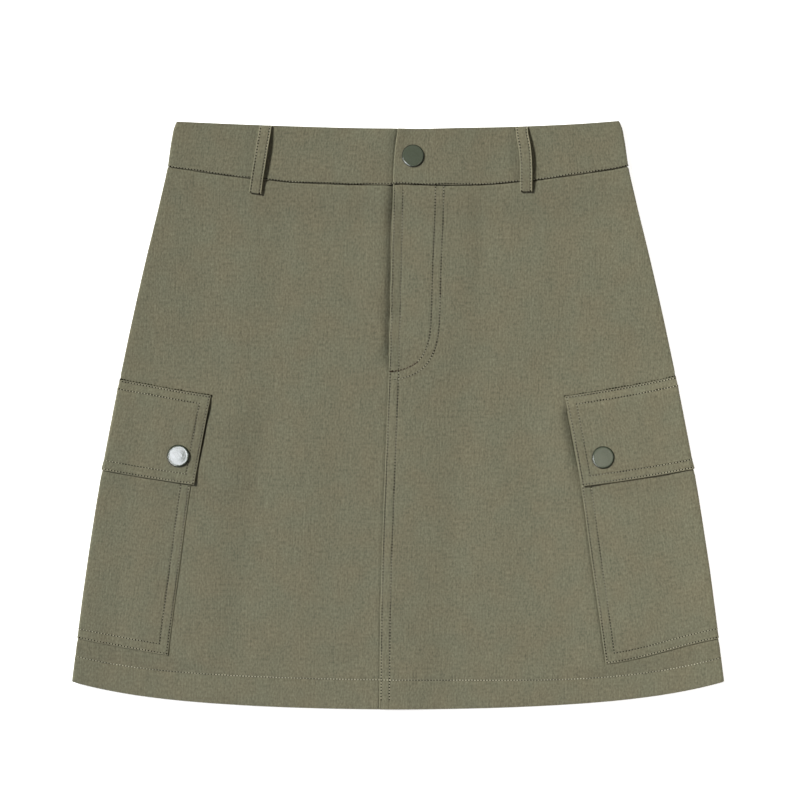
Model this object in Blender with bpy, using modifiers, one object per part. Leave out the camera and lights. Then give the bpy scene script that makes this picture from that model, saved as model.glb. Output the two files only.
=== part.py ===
"""Cargo utility skirt, laid flat on its back: panels, waistband, belt loops, pockets, flaps and snaps.

The skirt is a flattened tube. X runs across it (the wearer's left is +X), Y runs up to the waist and
Z is up from the table. Every piece of cloth is an open surface on the tube, moved out by the layers
that lie under it, with a Solidify modifier that gives it its wall. Sizes are in metres.
"""

from collections import namedtuple
from math import cos, pi, radians, sin

import bpy
import numpy as np

# ---------------------------------------------------------------- driving sizes

LENGTH = 0.4466  # top corner of the waistband down to the hem at the centre front
TOP = LENGTH / 2  # Y of the waistband's top corners

CLOTH = 0.0010  # wall of one layer of the body cloth
BAND_CLOTH = 0.0016  # wall of the waistband, which is folded double
LOOP_CLOTH = 0.0014  # wall of a front belt loop
GAP = 0.0003  # air between two pieces that touch
PLY = CLOTH + GAP  # rise from one layer of cloth to the next

BAND_LAP = 0.033  # length of the waistband's end under the snap
LAP_FOOT = 0.014  # distance over which a lapped layer comes down again

POCKET_WIDTH = 0.1560  # measured round the side fold
POCKET_ON_FRONT = {1: 0.0858, -1: 0.0710}  # the share of that width on the front, by side
FLAP_MARGIN = 0.0005  # how much further than the pocket each end of a flap reaches
FRONT_HOLD = 0.088  # the front stays raised over the pockets this far in from the fold
FRONT_FALL = 0.036  # and comes down over this distance
BACK_FALL = 0.010  # the back comes down more steeply beside the pocket

LOOP_WIDTH = 0.0106
BACK_LOOP_CENTRES = (-0.0560, 0.0, 0.0560)  # from the centre back line
BACK_LOOP_FALL = 0.007

SNAP_STEPS = 32
TURN_STEPS = 3  # faces in each quarter turn of a side fold
SEAM_EDGE = 0.0004  # upright edge of a panel at the side seam, below its quarter turn

# Half the width of the skirt at each drop from the waistband's top corner.
SILHOUETTE = (
    # drop, half width
    (0.0000, 0.1680),
    (0.0046, 0.1699),
    (0.0137, 0.1718),
    (0.0340, 0.1748),
    (0.0593, 0.1805),
    (0.1049, 0.1915),
    (0.1505, 0.2018),
    (0.2189, 0.2158),
    (0.2873, 0.2284),
    (0.3557, 0.2386),
    (0.4250, 0.2474),
)

# The centre front line leans, because the skirt lies turned a little in its folds. The centre back
# leans the other way.
CENTRE_FRONT = (
    # drop, x
    (0.0050, 0.0000),
    (0.0160, -0.0019),
    (0.0340, -0.0032),
    (0.0600, -0.0037),
    (0.1280, -0.0052),
    (0.1850, -0.0066),
    (0.2450, -0.0091),
    (0.3630, -0.0131),
    (0.4460, -0.0141),
)

# Each section is a line across the skirt. It runs from the drop at the side to the drop at the
# centre along a power curve, bow. flap and patch say how much of that layer lies outside the panel
# next to the fold. lift raises the front over the back loops and the thick band, loft is the fullness
# inside the side fold, lap is how far the right front reaches under the left, and loops is 1 where
# the back lies on its belt loops.
Section = namedtuple("Section", "side centre bow cloth flap patch lift loft lap loops")
BAND_SECTIONS = (
    Section(0.0000, 0.0049, 1.5, BAND_CLOTH, 0, 0, 0.0013, 0.0006, BAND_LAP, 1),
    Section(0.0046, 0.0098, 1.6, BAND_CLOTH, 0, 0, 0.0013, 0.0006, BAND_LAP, 1),
    Section(0.0150, 0.0235, 2.0, BAND_CLOTH, 0, 0, 0.0013, 0.0006, BAND_LAP, 1),
    Section(0.0338, 0.0481, 2.3, BAND_CLOTH, 0, 0, 0.0013, 0.0006, BAND_LAP, 1),
)
PANEL_SECTIONS = {
    "band seam": Section(0.0341, 0.0484, 2.3, CLOTH, 0, 0, 0.0019, 0.0008, 0.034, 1),
    "loop end": Section(0.0455, 0.0598, 2.3, CLOTH, 0, 0, 0.0015, 0.0009, 0.034, 1),
    "below loops": Section(0.0600, 0.0740, 2.3, CLOTH, 0, 0, 0.0, 0.0011, 0.034, 0),
    "hip": Section(0.1000, 0.1150, 2.1, CLOTH, 0, 0, 0.0, 0.0013, 0.034, 0),
    "fly foot": Section(0.1450, 0.1650, 2.0, CLOTH, 0, 0, 0.0, 0.0015, 0.034, 0),
    "above flap": Section(0.1809, 0.1985, 2.0, CLOTH, 0, 0, 0.0, 0.0016, 0.010, 0),
    "flap top": Section(0.1949, 0.2185, 2.0, CLOTH, 1, 0, 0.0, 0.0016, 0.010, 0),
    "patch top": Section(0.2059, 0.2295, 2.0, CLOTH, 1, 1, 0.0, 0.0016, 0.010, 0),
    "flap middle": Section(0.2350, 0.2576, 2.0, CLOTH, 1, 1, 0.0, 0.0016, 0.010, 0),
    "flap bottom": Section(0.2641, 0.2857, 2.0, CLOTH, 1, 1, 0.0, 0.0016, 0.010, 0),
    "below flap": Section(0.2781, 0.2997, 2.0, CLOTH, 0, 1, 0.0, 0.0016, 0.010, 0),
    "patch upper": Section(0.3160, 0.3390, 2.0, CLOTH, 0, 1, 0.0, 0.0018, 0.010, 0),
    "patch lower": Section(0.3540, 0.3790, 2.0, CLOTH, 0, 1, 0.0, 0.0018, 0.010, 0),
    "patch bottom": Section(0.3918, 0.4185, 2.0, CLOTH, 0, 1, 0.0, 0.0020, 0.010, 0),
    "hem stitch": Section(0.4058, 0.4261, 2.7, CLOTH, 0, 0, 0.0, 0.0022, 0.010, 0),
    "hem": Section(0.4248, 0.4466, 2.85, CLOTH, 0, 0, 0.0, 0.0024, 0.010, 0),
}

# Front belt loops: the middle of the loop at each drop, and how far it stands off what it lies on.
LoopPoint = namedtuple("LoopPoint", "drop x stand")
FRONT_LOOPS = {
    "belt_loop_front_right": (
        LoopPoint(0.0030, -0.1007, 0.0000),
        LoopPoint(0.0110, -0.1018, 0.0011),
        LoopPoint(0.0220, -0.1033, 0.0018),
        LoopPoint(0.0330, -0.1047, 0.0017),
        LoopPoint(0.0440, -0.1061, 0.0010),
        LoopPoint(0.0545, -0.1074, 0.0000),
    ),
    "belt_loop_front_left": (
        LoopPoint(0.0030, 0.0941, 0.0000),
        LoopPoint(0.0095, 0.0956, 0.0026),
        LoopPoint(0.0170, 0.0973, 0.0030),
        LoopPoint(0.0300, 0.0985, 0.0027),
        LoopPoint(0.0430, 0.0987, 0.0014),
        LoopPoint(0.0545, 0.0987, 0.0000),
    ),
}

# Snap caps: where the middle of each lies, and how many pocket layers lie over the panel there.
SnapPlace = namedtuple("SnapPlace", "x drop layers")
SNAPS = {
    "snap_waist": SnapPlace(0.0121, 0.0262, 0),
    "snap_right": SnapPlace(-0.1664, 0.2535, 2),
    "snap_left": SnapPlace(0.1562, 0.2554, 2),
}

# The snap cap's outline from the middle of its top to the middle of its base.
SNAP_PROFILE = (
    # radius, height
    (0.0000, 0.0021),
    (0.0058, 0.0021),
    (0.0066, 0.0023),
    (0.0073, 0.0023),
    (0.0079, 0.0019),
    (0.0083, 0.0012),
    (0.0083, 0.0005),
    (0.0078, 0.0000),
    (0.0000, 0.0000),
)

# Base colour, roughness and metallic value of each finish.
Finish = namedtuple("Finish", "colour roughness metallic")
FINISHES = {
    "body cloth": Finish((0.190, 0.180, 0.118), 0.90, 0.0),
    "band cloth": Finish((0.184, 0.175, 0.116), 0.90, 0.0),
    "loop cloth": Finish((0.200, 0.190, 0.126), 0.88, 0.0),
    "pocket cloth": Finish((0.196, 0.185, 0.122), 0.90, 0.0),
    "snap enamel": Finish((0.080, 0.095, 0.070), 0.25, 0.6),
}

# ---------------------------------------------------------------- the flattened tube


def smooth_table(table, at):
    """The table's second column at a place in its first, along a cubic through all its rows."""
    places, values = np.array(table).T
    slopes = np.gradient(values, places)
    at = float(np.clip(at, places[0], places[-1]))
    i = min(int(np.searchsorted(places, at, side="right")) - 1, len(places) - 2)
    step = places[i + 1] - places[i]
    t = (at - places[i]) / step
    rise = values[i + 1] - values[i]
    start = slopes[i] * step
    end = slopes[i + 1] * step
    return values[i] + t * start + t**2 * (3 * rise - 2 * start - end) + t**3 * (start + end - 2 * rise)


def half_width(drop):
    return smooth_table(SILHOUETTE, drop)


def centre_line(drop, face):
    """X of the centre front or centre back line."""
    places, values = np.array(CENTRE_FRONT).T
    x = float(np.interp(drop, places, values))
    return x if face == "front" else -x


def crossing(section, x):
    """The drop at which a section's line crosses x."""
    share = min(abs(x) / half_width(section.side), 1.0)
    return section.centre + (section.side - section.centre) * share**section.bow


def loft_share(inset):
    """The fullness of the side fold fades out towards the middle of the front."""
    return float(np.interp(inset, (0.005, 0.012, 0.028, FRONT_HOLD), (1.0, 0.7, 0.3, 0.0)))


def loop_rise(from_centre_back):
    """How far the back is raised by the belt loops that it lies on."""
    half = LOOP_WIDTH / 2 + GAP
    shares = [
        float(np.interp(abs(from_centre_back - centre), (half, half + BACK_LOOP_FALL), (1.0, 0.0)))
        for centre in BACK_LOOP_CENTRES
    ]
    return PLY * max(shares)


def pocket_reach(side, face):
    """How far in from the fold the pocket lies on one face."""
    front = POCKET_ON_FRONT[side]
    return front if face == "front" else POCKET_WIDTH - front


def pocket_rise(section, side, face, inset):
    """How far a panel is raised by the pocket layers that lie under it on the back."""
    if face == "front":
        share = np.interp(inset, (FRONT_HOLD, FRONT_HOLD + FRONT_FALL), (1.0, 0.0))
    else:
        edge = pocket_reach(side, face) + FLAP_MARGIN + GAP
        share = np.interp(inset, (edge, edge + BACK_FALL), (1.0, 0.0))
    return PLY * (section.flap + section.patch) * float(share)


def back_height(section, x, drop):
    """Underside of the back panel or band."""
    side = 1 if x > 0 else -1
    inset = half_width(drop) - abs(x)
    height = pocket_rise(section, side, "back", inset)
    return height + section.loops * loop_rise(x - centre_line(drop, "back"))


def front_height(section, x, drop, lapped):
    """Upper side of the front panel or band. lapped is true on the piece that lies over the other."""
    side = 1 if x > 0 else -1
    inset = half_width(drop) - abs(x)
    height = pocket_rise(section, side, "front", inset) + 2 * section.cloth + GAP + section.lift
    height += section.loft * loft_share(inset)
    if lapped:
        from_centre = x - centre_line(drop, "front")
        share = np.interp(from_centre, (section.lap, section.lap + LAP_FOOT), (1.0, 0.0))
        height += (section.cloth + GAP) * float(share)
    return height


def front_surface(x, drop, sections):
    """Upper side of the front at any place, between the sections."""
    crossings = [crossing(section, x) for section in sections]
    heights = [front_height(section, x, drop, x > 0) for section in sections]
    return float(np.interp(drop, crossings, heights))


# A station is a line down the tube. share runs from the centre line, 0, to the side fold, 1. shift
# is added to it towards the fold, and so is the section's lap, laps times. A station with a turn lies
# on the rounded fold. rim marks the start of that round or, with a turn, the edge at the side seam.
Station = namedtuple("Station", "face side share shift laps turn rim", defaults=(0, None, False))


def fold_radius(section):
    """Outer radius of the panel where it turns at the side."""
    return (2 * section.cloth + GAP + section.lift + section.loft) / 2


def tube_point(section, station, layers, seamed):
    """A point on the outside of the piece that lies the given number of layers over the panel.

    A seamed piece ends at the side seam, half a gap from the middle of the fold.
    """
    plies = section.flap + section.patch
    radius = fold_radius(section)
    stack = radius + PLY * plies
    reach_out = radius + PLY * layers
    drop = section.side
    x = 0.0
    for _ in range(5):
        fold = station.side * (half_width(drop) - stack)
        if station.turn is not None:
            x = fold + station.side * reach_out * sin(station.turn)
        elif station.rim:
            x = fold
        else:
            line = centre_line(drop, station.face)
            edge = station.side * half_width(drop)
            shift = station.shift + station.laps * section.lap
            x = line + station.share * (edge - line) + station.side * shift
        drop = crossing(section, x)
    if station.turn is not None:
        way = 1 if station.face == "front" else -1
        start = GAP / 2 if station.rim else (GAP / 2 + SEAM_EDGE) * seamed
        height = stack + way * start + (reach_out - start) * cos(station.turn)
    elif station.face == "front":
        lapped = station.side > 0
        height = front_height(section, x, drop, lapped) + PLY * layers
    else:
        height = back_height(section, x, drop) - PLY * layers
    return (x, TOP - drop, height)


def flat(face, side, inset):
    """A station at a distance in from the side fold."""
    return Station(face, side, 1, -inset)


def fold_start(face, side):
    return Station(face, side, 1, 0, rim=True)


def turn(face, side, step):
    """A station on the quarter turn from the face to the middle of the fold."""
    angle = step * pi / 2 / TURN_STEPS
    return Station(face, side, 1, 0, turn=angle if face == "front" else pi - angle)


def quarter(face, side):
    """The stations of a quarter turn, from the flat face to the middle of the fold."""
    return [fold_start(face, side)] + [turn(face, side, step) for step in range(1, TURN_STEPS + 1)]


def seam_edge(face, side):
    return Station(face, side, 1, 0, turn=pi / 2, rim=True)


def loop_stations(centre):
    """Lines down the back beside one of the belt loops that it lies on."""
    half = LOOP_WIDTH / 2 + GAP
    offsets = (-half - BACK_LOOP_FALL, -half, half, half + BACK_LOOP_FALL)
    return [Station("back", 1, 0, centre + offset) for offset in offsets]


def back_side(side):
    """Lines down one side of the back, from the middle of the fold inwards."""
    edge = pocket_reach(side, "back") + FLAP_MARGIN + GAP
    insets = (0.012, 0.028, 0.050, edge, edge + BACK_FALL)
    return quarter("back", side)[::-1] + [flat("back", side, inset) for inset in insets]


def back_stations():
    """The whole back, from the left fold to the right one."""
    middle = []
    for centre in reversed(BACK_LOOP_CENTRES):
        middle += loop_stations(centre)[::-1]
    return back_side(1) + middle + back_side(-1)[::-1]


def front_stations(side):
    """One front, from its edge at the centre to the middle of the fold.

    The left front begins at the centre line, and the right front at its lap beyond that line.
    """
    if side > 0:
        first = [Station("front", 1, 0, 0.0), Station("front", 1, 0, 0.0, 1)]
        foot = LAP_FOOT
        laps = 1
    else:
        first = [Station("front", -1, 0, GAP, -1)]
        foot = 0.0
        laps = 0
    fall = FRONT_HOLD + FRONT_FALL
    middle = [
        Station("front", side, share, foot * (1 - share) - fall * share, laps * (1 - share))
        for share in (0, 1 / 3, 2 / 3, 1)
    ]
    insets = (FRONT_HOLD, 0.056, 0.028, 0.012)
    return first + middle + [flat("front", side, inset) for inset in insets] + quarter("front", side)


def wrap_stations(side, margin):
    """Lines down a pocket or flap, from its edge on the front round the fold to its edge on the back."""
    front = [pocket_reach(side, "front") + margin, 0.056, 0.028, 0.012]
    back = [0.012, 0.028, 0.050, pocket_reach(side, "back") + margin]
    stations = [flat("front", side, inset) for inset in front] + quarter("front", side)
    stations += quarter("back", side)[-2::-1] + [flat("back", side, inset) for inset in back]
    return stations if side > 0 else stations[::-1]


# ---------------------------------------------------------------- Blender objects


def clear_scene():
    for obj in list(bpy.data.objects):
        bpy.data.objects.remove(obj, do_unlink=True)


def finish_object(obj, collection, finish):
    """Puts an object in the skirt's collection with a material of its own."""
    look = FINISHES[finish]
    material = bpy.data.materials.new(obj.name + " " + finish)
    material.use_nodes = True
    shader = material.node_tree.nodes["Principled BSDF"]
    shader.inputs["Base Color"].default_value = (*look.colour, 1.0)
    shader.inputs["Roughness"].default_value = look.roughness
    shader.inputs["Metallic"].default_value = look.metallic
    obj.data.materials.append(material)
    collection.objects.link(obj)
    return obj


def sheet_object(name, rows, wall, collection, finish):
    """A sheet of cloth: a grid of points on its outside, with a wall turned inwards.

    rows is a list of rows of points. Seen from outside, a row runs to the right when the next row
    lies below it.
    """
    count = len(rows[0])
    points = [point for row in rows for point in row]
    faces = []
    for i in range(len(rows) - 1):
        for j in range(count - 1):
            corner = i * count + j
            faces.append((corner, corner + count, corner + count + 1, corner + 1))
    mesh = bpy.data.meshes.new(name)
    mesh.from_pydata(points, [], faces)
    mesh.shade_smooth()
    mesh.set_sharp_from_angle(angle=radians(50))
    obj = bpy.data.objects.new(name, mesh)
    solidify = obj.modifiers.new("wall", "SOLIDIFY")
    solidify.thickness = wall
    solidify.offset = -1
    solidify.use_even_offset = True
    return finish_object(obj, collection, finish)


def tube_rows(sections, stations, layers=None, seamed=False):
    """Rows of points of a piece. layers gives the layers between it and the panel at a section."""
    count = layers or (lambda section: 0)
    return [
        [tube_point(section, station, count(section), seamed) for station in stations]
        for section in sections
    ]


# ---------------------------------------------------------------- pieces


def make_front_left(collection):
    """The lapping front. Its inner edge is the fly edge and the centre front seam."""
    stations = front_stations(1) + [seam_edge("front", 1)]
    rows = tube_rows(PANEL_SECTIONS.values(), stations, seamed=True)
    return sheet_object("front_left", rows, CLOTH, collection, "body cloth")


def make_front_right(collection):
    """The front whose fly extension and seam allowance lie under the left front."""
    stations = [seam_edge("front", -1)] + front_stations(-1)[::-1]
    rows = tube_rows(PANEL_SECTIONS.values(), stations, seamed=True)
    return sheet_object("front_right", rows, CLOTH, collection, "body cloth")


def make_back_panel(collection):
    stations = [seam_edge("back", 1)] + back_stations() + [seam_edge("back", -1)]
    rows = tube_rows(PANEL_SECTIONS.values(), stations, seamed=True)
    return sheet_object("back_panel", rows, CLOTH, collection, "body cloth")


def make_waistband(collection):
    """One strip from its end at the centre front, round the back, to the end under the snap."""
    stations = front_stations(1)[:-1] + back_stations() + front_stations(-1)[-2::-1]
    rows = tube_rows(BAND_SECTIONS, stations)
    return sheet_object("waistband", rows, BAND_CLOTH, collection, "band cloth")


def make_pocket(name, side, collection):
    sections = [section for section in PANEL_SECTIONS.values() if section.patch]
    rows = tube_rows(sections, wrap_stations(side, 0.0), lambda section: 1)
    return sheet_object(name, rows, CLOTH, collection, "pocket cloth")


def make_flap(name, side, collection):
    """A flap lies on the panel along its top edge and on the pocket below that."""
    sections = [section for section in PANEL_SECTIONS.values() if section.flap]
    rows = tube_rows(sections, wrap_stations(side, FLAP_MARGIN), lambda section: 1 + section.patch)
    return sheet_object(name, rows, CLOTH, collection, "pocket cloth")


def make_front_loop(name, path, collection):
    """A strap that stands off the band between its sewn ends."""
    sections = list(BAND_SECTIONS) + list(PANEL_SECTIONS.values())[:3]
    rows = []
    for place in path:
        height = front_surface(place.x, place.drop, sections) + GAP + LOOP_CLOTH + place.stand
        xs = (place.x - LOOP_WIDTH / 2, place.x, place.x + LOOP_WIDTH / 2)
        rows.append([(x, TOP - place.drop, height) for x in xs])
    return sheet_object(name, rows, LOOP_CLOTH, collection, "loop cloth")


def make_back_loop(name, centre, collection):
    """A plain loop that lies flat on the table under the band."""
    top, end = BAND_SECTIONS[0], PANEL_SECTIONS["loop end"]
    rows = []
    for section in (top, end):
        row = []
        for offset in (LOOP_WIDTH / 2, -LOOP_WIDTH / 2):
            station = Station("back", 1, 0, centre + offset)
            x, y, _ = tube_point(section, station, 0, False)
            row.append((x, y, 0.0))
        rows.append(row)
    return sheet_object(name, rows, CLOTH, collection, "loop cloth")


def make_snap(name, place, collection):
    """A turned cap that sits on the cloth."""
    sections = BAND_SECTIONS if place.layers == 0 else list(PANEL_SECTIONS.values())
    base = front_surface(place.x, place.drop, sections) + PLY * place.layers + GAP
    mesh = bpy.data.meshes.new(name)
    points = [(radius, 0.0, height) for radius, height in SNAP_PROFILE]
    mesh.from_pydata(points, [(i, i + 1) for i in range(len(points) - 1)], [])
    obj = bpy.data.objects.new(name, mesh)
    obj.location = (place.x, TOP - place.drop, base)
    screw = obj.modifiers.new("turn", "SCREW")
    screw.steps = SNAP_STEPS
    screw.render_steps = SNAP_STEPS
    screw.use_merge_vertices = True
    screw.merge_threshold = 0.00001
    screw.use_smooth_shade = True
    return finish_object(obj, collection, "snap enamel")


def main():
    clear_scene()
    collection = bpy.data.collections.new("Cargo utility skirt")
    bpy.context.scene.collection.children.link(collection)
    make_back_panel(collection)
    make_front_right(collection)
    make_front_left(collection)
    make_waistband(collection)
    for word, side in (("left", 1), ("right", -1)):
        make_pocket("pocket_" + word, side, collection)
        make_flap("flap_" + word, side, collection)
    for name, path in FRONT_LOOPS.items():
        make_front_loop(name, path, collection)
    for word, centre in zip(("right", "centre", "left"), BACK_LOOP_CENTRES):
        make_back_loop("belt_loop_back_" + word, centre, collection)
    for name, place in SNAPS.items():
        make_snap(name, place, collection)


main()
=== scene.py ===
"""Cargo utility skirt, laid flat on its back: the cloth, sewing and snaps that dress the packed model.

The skirt is a flattened tube. X runs across it (the wearer's left is +X), Y runs up to the waist and Z
is up from the table. A place on it is a level, the drop from the waist at the side fold, and a distance
across. Every piece of cloth is a grid of points worked out with numpy from those two, closed into a
thin shell, and the sewing is carried along lines of the same grids. All sizes are in metres.
"""

from collections import namedtuple
from math import pi, radians

import bpy
import numpy as np
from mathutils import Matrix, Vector


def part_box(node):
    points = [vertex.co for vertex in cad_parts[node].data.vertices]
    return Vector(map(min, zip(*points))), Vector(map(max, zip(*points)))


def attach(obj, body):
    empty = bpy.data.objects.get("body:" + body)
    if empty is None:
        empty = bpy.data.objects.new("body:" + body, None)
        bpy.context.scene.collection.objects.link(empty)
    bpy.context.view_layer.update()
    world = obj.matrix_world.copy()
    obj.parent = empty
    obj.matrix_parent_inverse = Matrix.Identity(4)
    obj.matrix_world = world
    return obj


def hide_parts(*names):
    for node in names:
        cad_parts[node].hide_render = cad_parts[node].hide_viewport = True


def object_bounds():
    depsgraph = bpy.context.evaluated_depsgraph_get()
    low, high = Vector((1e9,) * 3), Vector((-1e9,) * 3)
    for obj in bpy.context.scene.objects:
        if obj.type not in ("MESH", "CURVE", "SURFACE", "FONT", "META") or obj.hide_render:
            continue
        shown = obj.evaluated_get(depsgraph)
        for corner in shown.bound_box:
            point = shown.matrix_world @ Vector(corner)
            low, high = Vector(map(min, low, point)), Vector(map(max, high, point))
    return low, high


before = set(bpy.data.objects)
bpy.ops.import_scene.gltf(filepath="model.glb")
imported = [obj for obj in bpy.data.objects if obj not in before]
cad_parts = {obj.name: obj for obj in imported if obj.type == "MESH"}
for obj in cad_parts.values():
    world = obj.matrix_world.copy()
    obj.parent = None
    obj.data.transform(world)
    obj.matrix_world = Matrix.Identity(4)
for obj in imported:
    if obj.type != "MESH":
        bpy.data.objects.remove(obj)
BOX_LOW, BOX_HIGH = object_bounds()

bl_info = {
    "name": "Cargo Utility Skirt",
    "version": (1, 0, 0),
    "blender": (4, 5, 0),
    "location": "3D View > Sidebar > Skirt",
    "description": "Cloth, sewing and snaps of a cargo skirt that lies flat",
    "category": "Add Mesh",
}

# ---------------------------------------------------------------- sizes of the packed model

# Values kept by side have 1 for the wearer's left and -1 for the right.
TOP = BOX_HIGH.y  # Y of the waistband's top corners
CLOTH = 0.0010  # the packed model's wall of body cloth
BAND_CLOTH = 0.0016
GAP = 0.0003
PLY = CLOTH + GAP  # rise from one layer of cloth to the next

BAND_LIFT = 0.0013  # how far the back loops raise the band's front
BAND_LAP = 0.033  # length of the band's end under the snap
LAP_REACH = ((0.1450, 0.1809), (0.034, 0.010))  # levels, and how far the lap's layer reaches there
LAP_FOOT = 0.050  # distance over which a lapped layer comes down again
POCKET_WIDTH = 0.1560  # measured round the side fold
POCKET_ON_FRONT = {1: 0.0858, -1: 0.0710}  # how much of it is on the front
FLAP_MARGIN = 0.0005  # how far a flap reaches beyond its pocket
FRONT_HOLD = 0.088  # the front stays raised over the pockets this far in from the fold
FRONT_FALL = 0.036  # and comes down over this much
BACK_FALL = 0.010  # as the back does beyond its own pocket layers
LOOP_WIDTH = 0.0106
BACK_LOOP_CENTRES = {"right": -0.0560, "centre": 0.0, "left": 0.0560}
BACK_LOOP_FALL = 0.007  # distance over which the back comes down beside a loop
PATCH_INWARD = {
    # level, how much further from the side fold the inner edge of a pocket lies
    1: ((0.2059, 0.0020), (0.2641, 0.0020), (0.3160, 0.0029), (0.3540, 0.0027), (0.3918, 0.0022)),
    -1: ((0.2059, -0.0008), (0.2641, -0.0018), (0.2900, -0.0013), (0.3160, -0.0007), (0.3918, -0.0007)),
}
PATCH_PRESS = {1: 0.0, -1: 0.0006}  # how far a pocket's inner edge is pressed down
PATCH_FOOT = {1: 0.0003, -1: 0.0001}  # how far its lower edge is
FLAP_INWARD = {1: 0.0008, -1: 0.0003}  # how much further in a flap's inner edge lies
FLAP_STAND = {1: 0.0004, -1: -0.0010}  # how far a flap's inner edge stands off, or is pressed down

SILHOUETTE = (  # drop, half width
    (0, 0.1680), (0.0046, 0.1699), (0.0137, 0.1718), (0.0340, 0.1748), (0.0593, 0.1805),
    (0.1049, 0.1915), (0.1505, 0.2018), (0.2189, 0.2158), (0.2873, 0.2284), (0.3557, 0.2386),
    (0.4250, 0.2474),
)
CENTRE_FRONT = (  # drop, x
    (0.0050, 0.0000), (0.0160, -0.0016), (0.0340, -0.0032), (0.0600, -0.0038), (0.1280, -0.0054),
    (0.1850, -0.0068), (0.2450, -0.0091), (0.3630, -0.0131), (0.4460, -0.0141),
)

# Lines across the skirt. centre is the drop at the centre of the line that has the level at the side,
# bow is the power of its curve, lift raises the front panels, and loft is the fullness at the side.
CENTRE, BOW, LIFT, LOFT = 1, 2, 3, 4  # columns of LINES
LINES = np.array((
    # level, centre, bow, lift, loft
    (0.0000, 0.0053, 1.50, 0.0019, 0.0006), (0.0046, 0.0101, 1.60, 0.0019, 0.0006),
    (0.0150, 0.0235, 2.00, 0.0019, 0.0006), (0.0338, 0.0481, 2.30, 0.0019, 0.0007),
    (0.0455, 0.0598, 2.30, 0.0015, 0.0009), (0.0600, 0.0740, 2.30, 0.0000, 0.0011),
    (0.1000, 0.1150, 2.10, 0.0000, 0.0013), (0.1450, 0.1650, 2.00, 0.0000, 0.0015),
    (0.1809, 0.1985, 2.00, 0.0000, 0.0016), (0.1949, 0.2185, 2.00, 0.0000, 0.0016),
    (0.2059, 0.2295, 2.00, 0.0000, 0.0016), (0.2350, 0.2576, 2.00, 0.0000, 0.0016),
    (0.2641, 0.2857, 2.00, 0.0000, 0.0016), (0.2781, 0.2997, 2.00, 0.0000, 0.0016),
    (0.3160, 0.3390, 2.00, 0.0000, 0.0018), (0.3540, 0.3790, 2.00, 0.0000, 0.0018),
    (0.3918, 0.4185, 2.00, 0.0000, 0.0020), (0.4248, 0.4466, 2.85, 0.0000, 0.0024),
))
# Levels of the waistband's lower edge, the flaps, the pockets, the hem's stitching and the hem.
BAND_END, FLAP_TOP, PATCH_TOP, FLAP_END, PATCH_END, HEM_ROW_LEVEL, HEM = (
    0.0338, 0.1949, 0.2059, 0.2641, 0.3918, 0.4058, 0.4248
)
HEM_FALL = 0.0214  # how much lower the hem lies at the centre than at the sides
HEM_SQUARE = 0.63  # share of its curve that is a parabola
LEFT_RISE = (  # level, how much higher the lines run towards the left side
    (0.1000, 0), (0.1600, 0.0010), (0.1949, 0.0017), (0.2641, 0.0009), (0.3300, 0.0004), (0.3918, 0),
    (0.4248, 0),
)
LEFT_CORNER = (  # level, how much lower they run at the left pocket's inner edge
    (0.3000, 0), (0.3400, 0.0008), (0.3700, 0.0028), (0.3918, 0.0042), (0.4058, 0), (0.4248, 0),
)
RIGHT_FALL = 0.0012  # how much lower the right flap's top meets the side
TOP_WAVER = (  # x, how much lower the band's top edge runs
    (-0.0050, 0), (0.0120, 0.0004), (0.0500, 0.0004), (0.0850, 0.0006), (0.1100, 0.0006),
    (0.1400, 0.0003), (0.1650, -0.0004), (0.1720, -0.0006),
)
BAND_WAVER = (  # x, how much lower the band's lower edge runs
    (-0.0062, 0), (-0.0032, -0.0006), (0.0100, -0.0006), (0.0220, 0), (0.0340, 0.0004),
    (0.0480, 0.0008), (0.0850, 0.0008), (0.1100, 0.0003), (0.1300, 0),
)
COVER_FALL = 0.0140  # a layer's cover fades out over this much level above and below it
SIDE_FALL = 0.0060  # and over this much at the silhouette
FOLD_SQUARE = 0.62  # how square the side folds are: 1 is round
SIDE_PLY = 0.0004  # how far one layer stands outside the next at the silhouette

# ---------------------------------------------------------------- sizes of the sewing and the thin cloth

EDGE_ROUND = 0.00022  # how far in from a piece's edge its sides begin to draw together
HEM_TURN = 0.00055  # outer radius of the hem's turned edge
EDGE_ROW = 0.0011  # topstitching beside an edge
SECOND_ROW = 0.0074  # and the row beside it
ROW_DEPTH = 0.00014  # how far a row of stitches beside an edge pulls into the cloth
LOOP_ROW = 0.0011
FRONT_LOOP_WIDTH = 0.0091
BACK_LOOP_WALL = 0.0009
BACK_LOOP_DIP = 0.0012  # how far the back loops start below the packed ones
HEM_ROW = (  # x, height of the hem's stitching above the edge
    (-0.2450, 0.0203), (-0.1500, 0.0220), (-0.0740, 0.0226), (0.0380, 0.0220), (0.1540, 0.0187),
    (0.2450, 0.0190),
)
FLY_CURVE = (  # x, drop: the inner row that holds the fly's facing
    (0.0284, 0.0470), (0.0280, 0.0700), (0.0268, 0.0972), (0.0260, 0.1200), (0.0253, 0.1440),
    (0.0240, 0.1620), (0.0208, 0.1735), (0.0150, 0.1820), (0.0082, 0.1864), (-0.0010, 0.1890),
    (-0.0066, 0.1896),
)
FLY_ROWS_APART = 0.0063  # from the inner row to the outer
FLY_END = 0.1890  # drop where the opening ends and the seam begins

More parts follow.
